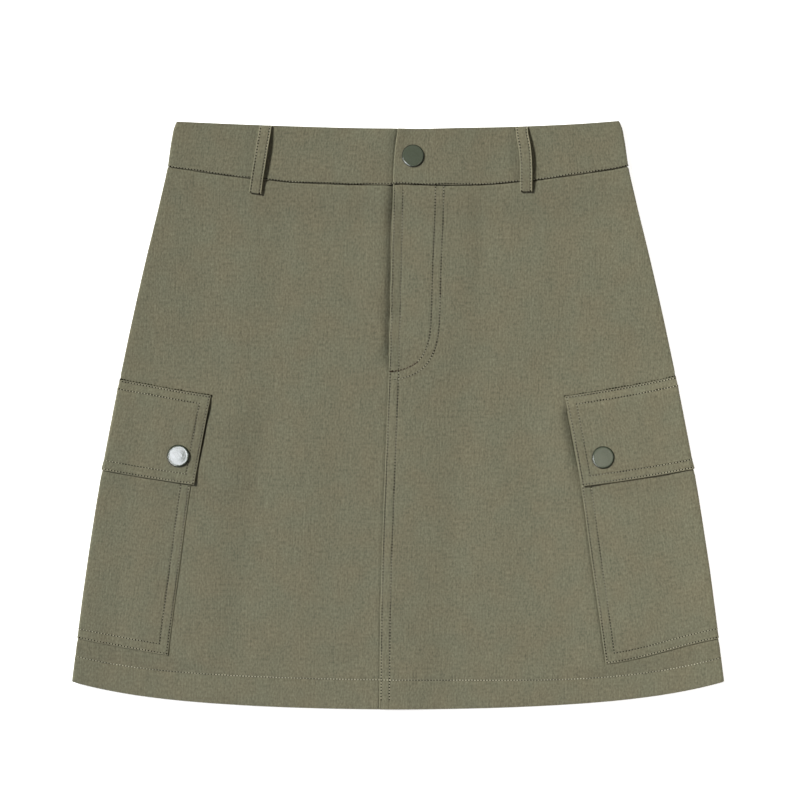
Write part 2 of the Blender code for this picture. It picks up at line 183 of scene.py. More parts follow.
# Soft folds of the front: a bar from one place to another, its half width, and its height, which is
# negative for a trough. sag bows the bar sideways.
FRONT_FOLDS = (
    # x, drop, to x, to drop, width, height, sag
    (-0.0160, 0.1310, -0.0070, 0.1350, 0.0020, -0.00045, 0.0000),
    (-0.0130, 0.1490, -0.0070, 0.1535, 0.0022, -0.00055, 0.0000),
    (-0.0135, 0.1745, -0.0078, 0.1790, 0.0022, -0.00055, 0.0000),
    (-0.0420, 0.1240, -0.0140, 0.1580, 0.0036, -0.00060, 0.0015),
    (-0.0330, 0.1200, -0.0090, 0.1480, 0.0050, 0.00034, 0.0015),
    (0.0600, 0.0500, 0.0620, 0.1300, 0.0060, -0.00042, -0.0020),
    (0.0500, 0.0560, 0.0500, 0.1500, 0.0090, 0.00020, 0.0000),
    (-0.0060, 0.1893, 0.0085, 0.1862, 0.0012, -0.00045, 0.0000),
    (0.0002, 0.1980, 0.0012, 0.2090, 0.0014, -0.00050, 0.0000),
    (0.0010, 0.2035, 0.0125, 0.2120, 0.0018, -0.00065, 0.0006),
    (0.0060, 0.1970, 0.0240, 0.2090, 0.0026, 0.00045, 0.0010),
    (0.0040, 0.2100, 0.0380, 0.2340, 0.0050, -0.00028, 0.0020),
    (-0.0930, 0.4030, -0.0190, 0.4030, 0.0065, -0.00052, 0.0090),
    (-0.0800, 0.3900, -0.0250, 0.3900, 0.0080, 0.00022, 0.0060),
    (0.0200, 0.3930, 0.1140, 0.4120, 0.0070, -0.00050, 0.0040),
    (0.0340, 0.3800, 0.1000, 0.3900, 0.0090, 0.00022, 0.0020),
    (-0.1420, 0.1000, -0.1500, 0.1900, 0.0130, -0.00035, 0.0040),
    (-0.1120, 0.0750, -0.1280, 0.1850, 0.0110, 0.00025, -0.0030),
    (-0.0860, 0.0620, -0.0880, 0.1180, 0.0070, -0.00026, 0.0000),
    (-0.0720, 0.2300, -0.0820, 0.3350, 0.0160, 0.00040, 0.0030),
    (-0.0480, 0.2600, -0.0420, 0.3350, 0.0110, -0.00024, 0.0000),
    (0.0640, 0.2500, 0.0760, 0.3420, 0.0150, 0.00040, -0.0030),
    (0.0440, 0.2500, 0.0400, 0.3300, 0.0120, -0.00022, 0.0000),
    (0.1220, 0.0820, 0.1380, 0.1800, 0.0110, -0.00028, 0.0030),
    (-0.1300, 0.1500, -0.1180, 0.1900, 0.0080, 0.00030, 0.0000),
    (-0.0210, 0.0560, -0.0300, 0.1150, 0.0060, -0.00024, 0.0020),
    (0.0900, 0.1500, 0.0780, 0.2250, 0.0120, 0.00026, 0.0030),
)
BACK_FOLDS = (  # the same columns; these folds lift off the table
    (0.0300, 0.1250, 0.0080, 0.1620, 0.0040, 0.00040, 0.0020),
    (-0.0620, 0.0900, -0.0680, 0.1900, 0.0070, 0.00035, 0.0030),
    (0.0850, 0.2500, 0.0760, 0.3500, 0.0120, 0.00035, 0.0030),
    (-0.0700, 0.2700, -0.0800, 0.3600, 0.0110, 0.00030, -0.0040),
    (-0.0950, 0.4020, 0.0100, 0.4080, 0.0065, 0.00040, 0.0070),
    (0.1300, 0.0900, 0.1420, 0.1700, 0.0080, 0.00035, 0.0030),
)
FRONT_LOOPS = {
    # drop, x, how far the loop stands off the band
    "belt_loop_front_right": (
        (0.0030, -0.1002, 0.0004), (0.0110, -0.1015, 0.0015), (0.0220, -0.1033, 0.0022),
        (0.0330, -0.1051, 0.0021), (0.0440, -0.1069, 0.0014), (0.0545, -0.1084, 0.0003),
    ),
    "belt_loop_front_left": (
        (0.0030, 0.0936, 0.0002), (0.0098, 0.0941, 0.0018), (0.0130, 0.0946, 0.0026),
        (0.0190, 0.0957, 0.0035), (0.0300, 0.0968, 0.0033), (0.0430, 0.0971, 0.0020),
        (0.0532, 0.0971, 0.0003),
    ),
}

# A snap cap: how far it leans from level in degrees, towards +X and then towards +Y, and how far it is
# moved from the packed cap, across and down.
Snap = namedtuple("Snap", "lean_x lean_y shift_x shift_drop")
SNAPS = {
    "snap_waist": Snap(-1.0, 1.0, -0.0008, 0.0),
    "snap_right": Snap(0.0, 0.0, 0.0, 0.0),
    "snap_left": Snap(0.5, 0.5, -0.0009, -0.0007),
}
SNAP_SINK = 0.0001  # how far a cap is pressed into the cloth
SNAP_RIM = 0.00797  # radius beyond which a cap's rim is painted dark as the shade round it
SNAP_SIDES = 96
SNAP_PROFILE = np.array((
    # radius, height: from the middle of the top to the middle of the base
    (0.0000, 0.00094), (0.0030, 0.00093), (0.0060, 0.00086), (0.0066, 0.00086), (0.0070, 0.00088),
    (0.0073, 0.00086), (0.0076, 0.00078), (0.0079, 0.00062), (0.0080, 0.00052), (0.0081, 0.00040),
    (0.0084, 0.00034), (0.0085, 0.00024), (0.0084, 0.00012), (0.0080, 0.00008), (0.0060, 0.00006),
    (0.0060, 0.00000), (0.0000, 0.00000),
))

# ---------------------------------------------------------------- settings a user may change


def setting(kind, name, description, default, **limits):
    """A property of the given kind, one of those in bpy.props."""
    return kind(name=name, description=description, default=default, **limits)


def colour(*texts):
    return setting(bpy.props.FloatVectorProperty, *texts, size=3, min=0, max=1, subtype="COLOR")


def length(*texts):
    return setting(bpy.props.FloatProperty, *texts, min=0, precision=5, unit="LENGTH")


def share(*texts):
    return setting(bpy.props.FloatProperty, *texts, min=0, max=1, subtype="FACTOR")


class SkirtCloth(bpy.types.PropertyGroup):
    """The woven cloth of every piece."""

    base: colour("Colour", "Base colour of the cloth", (0.1778, 0.1708, 0.1114))
    warm: colour("Warm mottling", "Colour of the warmer patches", (0.1822, 0.1702, 0.1098))
    cool: colour("Cool mottling", "Colour of the greener patches", (0.1748, 0.1724, 0.1138))
    wall: length("Cloth thickness", "Thickness of one layer of cloth", 0.00052)
    band_wall: length("Band thickness", "Thickness of the folded waistband", 0.0014)
    flap_wall: length("Flap thickness", "Thickness of a flap, which is double", 0.00085)
    patch_wall: length("Pocket thickness", "Thickness of a pocket at its turned edge", 0.0008)
    loop_wall: length("Loop thickness", "Thickness of a belt loop", 0.0012)
    thread: length("Thread pitch", "Distance between threads of the weave", 0.00046)
    grain: share("Grain", "Strength of the fine grain of the weave", 0.93)
    slub: share("Slub", "Strength of the long uneven threads", 0.40)
    # the lightening along edges is partly abrasion and partly a painted highlight
    wear: share("Edge wear", "How much lighter the cloth is along its edges", 0.52)


class SkirtSewing(bpy.types.PropertyGroup):
    """The topstitching."""

    thread: colour("Thread colour", "Colour of the sewing thread", (0.3300, 0.3170, 0.2300))
    tack: colour("Bar tack colour", "Colour of the bar tack at the foot of the fly", (0.1100, 0.0680, 0.0460))
    # painted shade: the colour of the dark plugs in needle holes
    hole: colour("Hole colour", "Colour down in a needle hole", (0.0130, 0.0100, 0.0060))
    pitch: length("Stitch length", "Distance from needle hole to needle hole", 0.0023)
    width: length("Thread width", "Thickness of the sewing thread", 0.00054)


class SkirtSnaps(bpy.types.PropertyGroup):
    """The snap caps."""

    enamel: colour("Enamel colour", "Colour of the snap caps", (0.0780, 0.0930, 0.0630))
    # painted shade: the dark rim stands in for the contact shadow and outline round a cap
    edge: colour("Edge colour", "Colour of a cap's bare edge", (0.020, 0.022, 0.017))


class SkirtStage(bpy.types.PropertyGroup):
    """The floor, the lights and the camera."""

    floor: colour("Floor colour", "Colour of the floor", (0.880, 0.880, 0.875))
    glow: share("Floor glow", "Light that the floor itself gives", 0.80)
    key: setting(bpy.props.FloatProperty, "Key light", "Strength of the light from the upper left", 4.27)
    sky: setting(bpy.props.FloatProperty, "Sky", "Strength of the light from all round", 0.045)
    lens: setting(bpy.props.FloatProperty, "Lens", "Focal length in millimetres", 135.0)


# ---------------------------------------------------------------- curves and fades


def curve(table, at):
    """The second column of a table at places in its first: between two rows a cubic Hermite curve whose
    end slopes are those of the rows on either side."""
    places, values = np.array(table, float).T
    slopes = np.gradient(values, places)
    at = np.clip(at, places[0], places[-1])
    row = np.clip(np.searchsorted(places, at, side="right") - 1, 0, len(places) - 2)
    step = places[row + 1] - places[row]
    t = (at - places[row]) / step
    rise = values[row + 1] - values[row]
    start, end = slopes[row] * step, slopes[row + 1] * step
    return values[row] + t * start + t**2 * (3 * rise - 2 * start - end) + t**3 * (start + end - 2 * rise)


def line_value(column, level):
    """One column of LINES at a level."""
    return curve(LINES[:, [0, column]], level)


def ease(x, start, end):
    """0 before start and 1 after end, with 3t2 - 2t3 between them. start may lie after end."""
    t = np.clip((x - start) / (end - start), 0, 1)
    return t * t * (3 - 2 * t)


def bell(x, width):
    """1 where x is 0, and e to the power -(x / width)2 beside it."""
    return np.exp(-((x / width) ** 2))


def waves(seed, u, sizes):
    """Uneven waves along u: sines of the given lengths, each with a phase and size drawn from the seed."""
    draw = np.random.default_rng(seed)
    total = 0
    for size in sizes:
        total = total + draw.uniform(0.6, 1.0) * np.sin(2 * pi * (u / size + draw.random()))
    return total / len(sizes)


def half_width(drop):
    return curve(SILHOUETTE, drop)


def centre_front(drop):
    return curve(CENTRE_FRONT, drop)


def centre_back(drop):
    return -centre_front(drop)


# ---------------------------------------------------------------- the flattened tube


def line_drop(level, x):
    """Drop of a line across at x: from its drop at the side to its drop at the centre along a power
    curve of the share of the half width."""
    out = np.minimum(np.abs(x) / half_width(level), 1)
    return level + (line_value(CENTRE, level) - level) * (1 - out ** line_value(BOW, level))


def hem_drop(x):
    """Drop of the hem's edge at x: flat in the middle and steep by the sides."""
    out = np.minimum(np.abs(x) / half_width(HEM), 1)
    return HEM + HEM_FALL * (1 - HEM_SQUARE * out**2 - (1 - HEM_SQUARE) * out**6)


def side_shift(level, x):
    """How much lower a line lies at x than its own curve: by the left pocket's corner, along the band's
    two edges and at the right flap's top. Towards the left side it lies higher."""
    corner = curve(LEFT_CORNER, level) * ease(x, 0.100, 0.150) * ease(x, 0.235, 0.165)
    band = curve(BAND_WAVER, x) * ease(level, 0.020, BAND_END) * ease(level, 0.054, BAND_END)
    band = band + curve(TOP_WAVER, x) * ease(level, 0.016, 0.0)
    flap = RIGHT_FALL * ease(level, 0.165, FLAP_TOP) * ease(level, 0.245, 0.212) * ease(x, -0.180, -0.235)
    return corner + band + flap - curve(LEFT_RISE, level) * ease(x, 0.060, 0.130)


def drop_at(level, x):
    """Drop of a line across at x. Below the pockets the lines run over into the hem's stitching, which
    lies at its own height above the hem, and then into the hem."""
    height = curve(HEM_ROW, x)
    held = np.minimum(level, PATCH_END)
    above = line_drop(held, x) + side_shift(held, x)
    blend = np.clip((level - PATCH_END) / (HEM_ROW_LEVEL - PATCH_END), 0, 1)
    below = np.clip((level - HEM_ROW_LEVEL) / (HEM - HEM_ROW_LEVEL), 0, 1)
    return above * (1 - blend) + (hem_drop(x) - height) * blend + height * below


def level_at(x, drop):
    """The level whose line crosses x at a drop, found by stepping towards it."""
    level = drop - 0.012
    for _ in range(12):
        level = np.clip(level + drop - drop_at(level, x), 0, HEM)
    return level


def settle(level, x_at):
    """x and drop where a line across meets a line down, which gives x at a drop: repeated until the
    two agree."""
    drop = level
    for _ in range(6):
        x = x_at(drop)
        drop = drop_at(level, x)
    return x, drop


def cover(level, top, end, fall):
    """1 where a pocket layer lies on a level, fading to 0 beyond its top and end."""
    return ease(level, top - fall, top) * ease(level, end + fall, end)


def plies(level, fall=COVER_FALL):
    """Pocket layers that lie outside the panel beside the fold."""
    patch = ease(level, FLAP_TOP, PATCH_TOP) * cover(level, PATCH_TOP, PATCH_END, fall)
    return cover(level, FLAP_TOP, FLAP_END, fall) + patch


def pocket_reach(side, face):
    front = POCKET_ON_FRONT[side]
    return front if face == "front" else POCKET_WIDTH - front


def fold_size(level, band):
    """Outer radius of the panel or band where it turns at the side, and the middle of the turn: how far
    inside the silhouette it lies, and its height. The pocket layers outside it add to both."""
    cloth = BAND_CLOTH if band else CLOTH
    lift = BAND_LIFT if band else line_value(LIFT, level)
    radius = (2 * cloth + GAP + lift + line_value(LOFT, level)) / 2
    if band:
        return radius, radius, radius
    return radius, radius + SIDE_PLY * plies(level, SIDE_FALL), radius + PLY * plies(level)


def folds(table, x, drop):
    """Height of soft folds: each is a bell across the bar and fades out at its two ends."""
    total = 0
    for at_x, at_drop, to_x, to_drop, width, height, sag in table:
        way_x, way_drop = to_x - at_x, to_drop - at_drop
        far = np.hypot(way_x, way_drop)
        s = ((x - at_x) * way_x + (drop - at_drop) * way_drop) / far**2
        off = ((drop - at_drop) * way_x - (x - at_x) * way_drop) / far - sag * 4 * s * (1 - s)
        total = total + height * ease(s, -0.15, 0.25) * ease(s, 1.15, 0.75) * bell(off, width)
    return total


def snap_place(name):
    """x and drop of a snap's middle: the packed model's, with the snap's own small shift."""
    low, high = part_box(name)
    snap = SNAPS[name]
    return (low.x + high.x) / 2 + snap.shift_x, TOP - (low.y + high.y) / 2 + snap.shift_drop


def dimple(name, x, drop, radius, depth):
    """The cloth is held down round a snap: a bell of the distance from its middle."""
    at_x, at_drop = snap_place(name)
    return -depth * bell(np.hypot(x - at_x, drop - at_drop), radius)


def front_relief(level, x, drop, band):
    """Soft folds and slow waves of the front, which fade out at the side fold. The band has only fine
    waves, a rise and a trough by its left loop, and the dimple of its snap."""
    fade = ease(half_width(drop) - np.abs(x), 0.004, 0.022)
    if band:
        ripple = 0.00010 * waves(3, x + 0.3 * drop, (0.061, 0.038, 0.023)) * ease(drop, 0.004, 0.012)
        by_loop = 0.0006 * bell(x - 0.1010, 0.0065) - 0.0010 * bell(x - 0.0945, 0.0038)
        by_loop = by_loop * ease(drop, 0.008, 0.020)
        return fade * (ripple + by_loop + dimple("snap_waist", x, drop, 0.011, 0.00012))
    slow = 0.00026 * waves(5, x + 0.10 * drop, (0.083, 0.052, 0.031))
    slow = slow * (1 + 0.7 * waves(6, drop + 0.2 * x, (0.120, 0.071)))
    seam = 0.00010 * waves(7, x, (0.017, 0.011, 0.0071)) * np.exp(-np.maximum(level - BAND_END, 0) / 0.006)
    return fade * (folds(FRONT_FOLDS, x, drop) + slow + seam)


def front_height(level, x, drop, side, layers=0, band=False):
    """Upper side of what lies over the front: two walls and the air between them, the lift over the
    back loops, the loft at the side, the pocket layers under the back, the lap and the relief."""
    inset = half_width(drop) - np.abs(x)
    cloth = BAND_CLOTH if band else CLOTH
    lift = BAND_LIFT if band else line_value(LIFT, level)
    near_side = np.interp(inset, (0.005, 0.012, 0.028, FRONT_HOLD), (1.0, 0.7, 0.3, 0.0))
    height = 2 * cloth + GAP + lift + line_value(LOFT, level) * near_side + PLY * layers
    if not band:
        height = height + PLY * plies(level) * ease(inset, FRONT_HOLD + FRONT_FALL, FRONT_HOLD)
    if side > 0:
        lap = BAND_LAP if band else np.interp(level, *LAP_REACH)
        height = height + (cloth + GAP) * ease(x - centre_front(drop), lap + LAP_FOOT, lap)
    return height + front_relief(level, x, drop, band)


def back_height(level, x, drop, side, layers=0, band=False):
    """Underside of what lies on the table: raised by pocket layers, by loops and by its own folds."""
    inset = half_width(drop) - np.abs(x)
    half = LOOP_WIDTH / 2 + GAP
    from_seam = x - centre_back(drop)
    off_loop = np.min([np.abs(from_seam - centre) for centre in BACK_LOOP_CENTRES.values()], axis=0)
    height = PLY * ease(off_loop, half + BACK_LOOP_FALL, half) * ease(level, 0.0600, 0.0455)
    if not band:
        edge = pocket_reach(side, "back") + FLAP_MARGIN + GAP
        height = height + PLY * plies(level) * ease(inset, edge + BACK_FALL, edge)
        height = height + folds(BACK_FOLDS, x, drop) * ease(inset, edge + BACK_FALL, edge + 0.03)
    return height - PLY * layers


# ---------------------------------------------------------------- grids of points

# A grid holds points and, for each, its place across and down the cloth in metres, for the weave.
Grid = namedtuple("Grid", "points across down")

# Distances in from an edge at which a grid has lines close together.
CLOSE_STEPS = (0, 0.00008, 0.00025, 0.0005, 0.0009)
FOLD_STEPS = (0, 0.0015, 0.004, 0.008, 0.013)
FLAP_STEPS = (
    -0.0030, -0.0018, -0.0010, -0.0005, -0.0001, 0.0002, 0.0005, 0.0008, 0.0011, 0.0015, 0.0020, 0.0026,
    0.0034, 0.0044, 0.0058,
)
TRENCH_STEPS = (0, 0.0002, 0.0005, 0.0008, 0.0011, 0.0014, 0.0018, 0.0024, 0.0032, 0.0041, 0.0050, 0.0060)

# Angles in degrees round a side fold, from the front at 0 to the back at 180.
FRONT_TURN = (3, 9, 18, 30, 44, 58, 71, 81, 87, 89.2)
BACK_TURN = (90.8, 93, 99, 109, 122, 136, 150, 162, 171, 177)
BAND_TURN = (3, 10, 22, 38, 55, 71, 83, 88, 92, 97, 109, 125, 142, 158, 170, 177)
POCKET_TURN = (3, 9, 20, 34, 49, 64, 77, 86, 90, 94, 103, 116, 131, 146, 160, 171, 177)


def spread(near, far, width, step):
    """Lines down a piece between two edges, as shares of the way across and shifts: near holds
    distances in from the first edge, far from the second, and the rest is evenly filled."""
    near, far = np.array(near, float), np.array(far, float)
    count = max(2, int(round((width - near[-1] - far[-1]) / step)))
    t = np.arange(1, count) / count
    way = np.concatenate([np.zeros(len(near)), t, np.ones(len(far))])
    shift = np.concatenate([near, (1 - t) * near[-1] - t * far[-1], -far[::-1]])
    return way[None, :], shift[None, :]


def side_line(side, inside):
    """The line down the cloth at a distance inside the silhouette: x at a drop."""
    return lambda drop: side * (half_width(drop) - inside)


def lap_line(reach):
    """The line down the cloth at a distance from the centre front: x at a drop."""
    return lambda drop: centre_front(drop) + reach


def fold_edge(level, side, band=False):
    """The line where the flat face ends and the round of the fold begins."""
    return side_line(side, fold_size(level, band)[1])


def face_part(face, level, first, last, lines, side, layers=0, band=False):
    """Points on the front or back between two edges, which are x at a drop. lines comes from spread."""
    way, shift = lines

    def x_at(drop):
        a, b = first(drop), last(drop)
        return a + way * (b - a) + np.sign(b - a) * shift

    x, drop = settle(level, x_at)
    height = front_height if face == "front" else back_height
    return np.stack([x, TOP - drop, height(level, x, drop, side, layers, band)], axis=-1)


def turn_part(level, degrees, side, layers=0, band=False):
    """Points on the fold, at angles about its middle: they follow a squared circle, whose sine and
    cosine are raised to a power below one."""
    radius, inside, middle = fold_size(level, band)
    angles = np.radians(degrees)[None, :]
    sine, cosine = np.sin(angles) ** FOLD_SQUARE, np.cos(angles)
    out = (radius + SIDE_PLY * layers) * sine - inside
    x, drop = settle(level, side_line(side, -out))
    height = middle + (radius + PLY * layers) * np.sign(cosine) * np.abs(cosine) ** FOLD_SQUARE
    return np.stack([x, TOP - drop, height + 0 * x], axis=-1)


def lengths(points, axis):
    """Distance along a grid's lines from their first point."""
    steps = np.linalg.norm(np.diff(points, axis=axis), axis=-1)
    start = np.zeros_like(np.take(steps, [0], axis=axis))
    return np.concatenate([start, np.cumsum(steps, axis=axis)], axis=axis)


def unit(vectors):
    return vectors / np.maximum(np.linalg.norm(vectors, axis=-1, keepdims=True), 1e-12)


def normals_of(points):
    """Unit normals of a grid: down a column crossed with along a row."""
    return unit(np.cross(np.gradient(points, axis=0), np.gradient(points, axis=1)))


def raised(points, height):
    """A grid moved out along its normals."""
    return points + normals_of(points) * height[..., None]


def from_edges(points):
    """Distances along a grid's lines from its first and last columns and its first and last rows."""
    across, down = lengths(points, 1), lengths(points, 0)
    return across, across[:, -1:] - across, down, down[-1:] - down


def steps_in(*rows):
    """Distances in from a stitched edge: close together round the edge and at each row of stitches."""
    places = [0.0, 0.00006, 0.00018, 0.00036, 0.0006]
    for row in rows:
        places += [row - 0.0004, row, row + 0.0004, row + 0.0010]
    return sorted(set(round(p, 6) for p in places if p >= 0))


def press_rows(points, edge, seed):
    """Pulls the two rows of stitches beside an edge into the cloth and puckers it between them: each
    row is a bell-shaped groove of the distance from the edge, and the puckers are uneven waves."""
    along = lengths(points, 1) + 1.7 * lengths(points, 0)
    groove = bell(edge - EDGE_ROW, 0.0005) + bell(edge - SECOND_ROW, 0.0005)
    pucker = waves(seed, along, (0.0190, 0.0113, 0.0074)) * bell(edge - (EDGE_ROW + SECOND_ROW) / 2, 0.0055)
    return raised(points, 0.00011 * pucker - ROW_DEPTH * groove)


# ---------------------------------------------------------------- meshes

FAR = 1.0  # a distance that stands for no row of stitches here
SHEETS = {}  # the grids that the sewing follows, by piece


def new_mesh(name, vertices, faces, materials, kinds=None):
    """A smooth mesh. kinds holds the number of each face's material."""
    mesh = bpy.data.meshes.new(name)
    mesh.from_pydata(vertices, [], faces)
    for material in materials:
        mesh.materials.append(material)
    if kinds is not None:
        mesh.polygons.foreach_set("material_index", kinds.astype(np.int32))
    mesh.shade_smooth()
    return mesh


def set_uv(mesh, name, values):
    """Gives each corner of a mesh's faces the value of its point."""
    corners = np.zeros(len(mesh.loops), int)
    mesh.loops.foreach_get("vertex_index", corners)
    mesh.uv_layers.new(name=name).data.foreach_set("uv", values[corners].ravel())


def shell_mesh(name, grid, wall, rows, material):
    """Closes a grid into a thin shell. Its outer side is the grid and its inner side lies a wall below.
    Close to every edge both sides draw in to the middle along a quarter ellipse, so that the edge is
    round, and the two sides share the edge's points. rows is kept on the points."""
    points, normals = grid.points, normals_of(grid.points)
    edge = np.clip(np.minimum.reduce(from_edges(points)) / min(wall * 0.5, EDGE_ROUND), 0, 1)
    draw = wall / 2 * (1 - np.sqrt(1 - (1 - edge) ** 2))[..., None]
    count, across = points.shape[:2]
    index = np.arange(count * across).reshape(count, across)
    under = index.copy()
    under[1:-1, 1:-1] = count * across + np.arange((count - 2) * (across - 2)).reshape(count - 2, across - 2)
    top = np.stack([index[:-1, :-1], index[1:, :-1], index[1:, 1:], index[:-1, 1:]], axis=-1)
    bottom = np.stack([under[:-1, :-1], under[:-1, 1:], under[1:, 1:], under[1:, :-1]], axis=-1)

    def on_points(outer, inner):
        """Values of the outer side's points, then of the inner side's own."""
        parts = outer, inner[1:-1, 1:-1]
        return np.concatenate([part.reshape(-1, part.shape[-1]) for part in parts])

    vertices = on_points(points - normals * draw, points - normals * (wall - draw))
    mesh = new_mesh(name, vertices, np.concatenate([top, bottom]).reshape(-1, 4), [material])
    cloth = np.stack([grid.across, grid.down], axis=-1)
    set_uv(mesh, "cloth", on_points(cloth, cloth))
    kept = mesh.attributes.new("rows", "FLOAT_VECTOR", "POINT")
    kept.data.foreach_set("vector", on_points(rows, rows).astype(np.float32).ravel())
    return mesh


def add_piece(name, mesh, replaced=()):
    """Puts a mesh in the scene as a piece that rides on the skirt's one body."""
    piece = bpy.data.objects.new(name, mesh)
    bpy.context.scene.collection.objects.link(piece)
    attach(piece, "root")
    if replaced:
        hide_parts(*replaced)
    return piece


def row_distances(points, edge=FAR, fly=FAR, hem=FAR):
    """Distances from the edge, from the fly's curved row and from the hem's row, as one vector field."""
    return np.stack([np.broadcast_to(field, points.shape[:2]) for field in (edge, fly, hem)], axis=-1)


def add_cloth(node, grid, rows, cloth, wall):
    """A sheet of one of the CLOTHS, with the wall given, in place of a packed node."""
    name = "cloth_" + node.removesuffix("_panel")
    material = shared(cloth + " cloth", cloth_material, *CLOTHS[cloth])
    piece = add_piece(name, shell_mesh(name, grid, wall, rows, material), (node,))
    SHEETS[name] = grid


# ---------------------------------------------------------------- materials


class Nodes:
    """Short ways to add and join the nodes of one material."""

    def __init__(self, name):
        self.material = bpy.data.materials.new(name)
        self.material.use_nodes = True
        self.tree = self.material.node_tree
        self.shader = self.tree.nodes["Principled BSDF"]

    def put(self, socket, value):
        if isinstance(value, bpy.types.NodeSocket):
            self.tree.links.new(value, socket)
        else:
            socket.default_value = value

    def add(self, kind, inputs=(), **settings):
        """A node. inputs pairs the name or number of a socket with a value or another node's output."""
        node = self.tree.nodes.new("ShaderNode" + kind)
        for key, value in settings.items():
            setattr(node, key, value)
        for key, value in dict(inputs).items():
            self.put(node.inputs[key], value)
        return node

    def math(self, operation, *values):
        return self.add("Math", enumerate(values), operation=operation).outputs[0]

    def scaled(self, vector, *scale):
        return self.add("VectorMath", {0: vector, 1: scale}, operation="MULTIPLY").outputs[0]

    def split(self, vector):
        return self.add("SeparateXYZ", {0: vector}).outputs

    def place(self):
        return self.add("TexCoord").outputs["Object"]

    def noise(self, vector, scale, detail=2.0, roughness=0.5):
        inputs = {"Vector": vector, "Scale": scale, "Detail": detail, "Roughness": roughness}
        return self.add("TexNoise", inputs).outputs["Fac"]

    def around(self, noise, amount, base):
        """A base that a noise moves up and down by an amount."""
        return self.math("MULTIPLY_ADD", self.math("SUBTRACT", noise, 0.5), amount, base)

    def fade(self, value, start, end, first, last):
        """first up to start, last from end on, and a smooth step between them."""
        inputs = enumerate((value, start, end, first, last))
        return self.add("MapRange", inputs, interpolation_type="SMOOTHSTEP").outputs[0]

    def bell(self, distance, row, width):
        """1 where the distance is that of a row, and e to the power -(off / width)2 beside it."""
        off = self.math("DIVIDE", self.math("SUBTRACT", distance, row), width)
        return self.math("EXPONENT", self.math("MULTIPLY", self.math("MULTIPLY", off, off), -1.0))

    def bump(self, height, distance):
        node = self.add("Bump", {"Strength": 1.0, "Distance": distance, "Height": height})
        self.put(self.shader.inputs["Normal"], node.outputs[0])

    def surface(self, tone, strength, **values):
        """The finished material: its colour is a tone times a grey strength, and values sets the
        shader's other inputs by name."""
        if not isinstance(tone, bpy.types.NodeSocket):
            tone = (*tone, 1)
        grey = self.add("CombineColor", {0: strength, 1: strength, 2: strength}).outputs[0]
        mix = self.add("Mix", data_type="RGBA", blend_type="MULTIPLY")
        for key, value in {0: 1.0, 6: tone, 7: grey}.items():
            self.put(mix.inputs[key], value)
        self.put(self.shader.inputs["Base Color"], mix.outputs[2])
        for key, value in values.items():
            self.put(self.shader.inputs[key.replace("_", " ")], value)
        return self.material


# Brightness of each cloth, distances of its rows of stitches from an edge, and how much its edges are
# lightened, partly for abrasion and partly as a painted highlight.
CLOTHS = {
    "body": (1.0, (EDGE_ROW, SECOND_ROW), 1.0),
    "band": (0.985, (), 1.0),
    "pocket": (1.02, (EDGE_ROW, SECOND_ROW), 1.0),
    "loop": (1.04, (LOOP_ROW,), 1.7),
}
# width of the painted shade along a row of stitches
GROOVE_SHADE_WIDTH = 0.00034
# width of the lightening along edges, which is partly abrasion and partly a painted highlight
WORN_AND_LIT_WIDTH = 0.00055


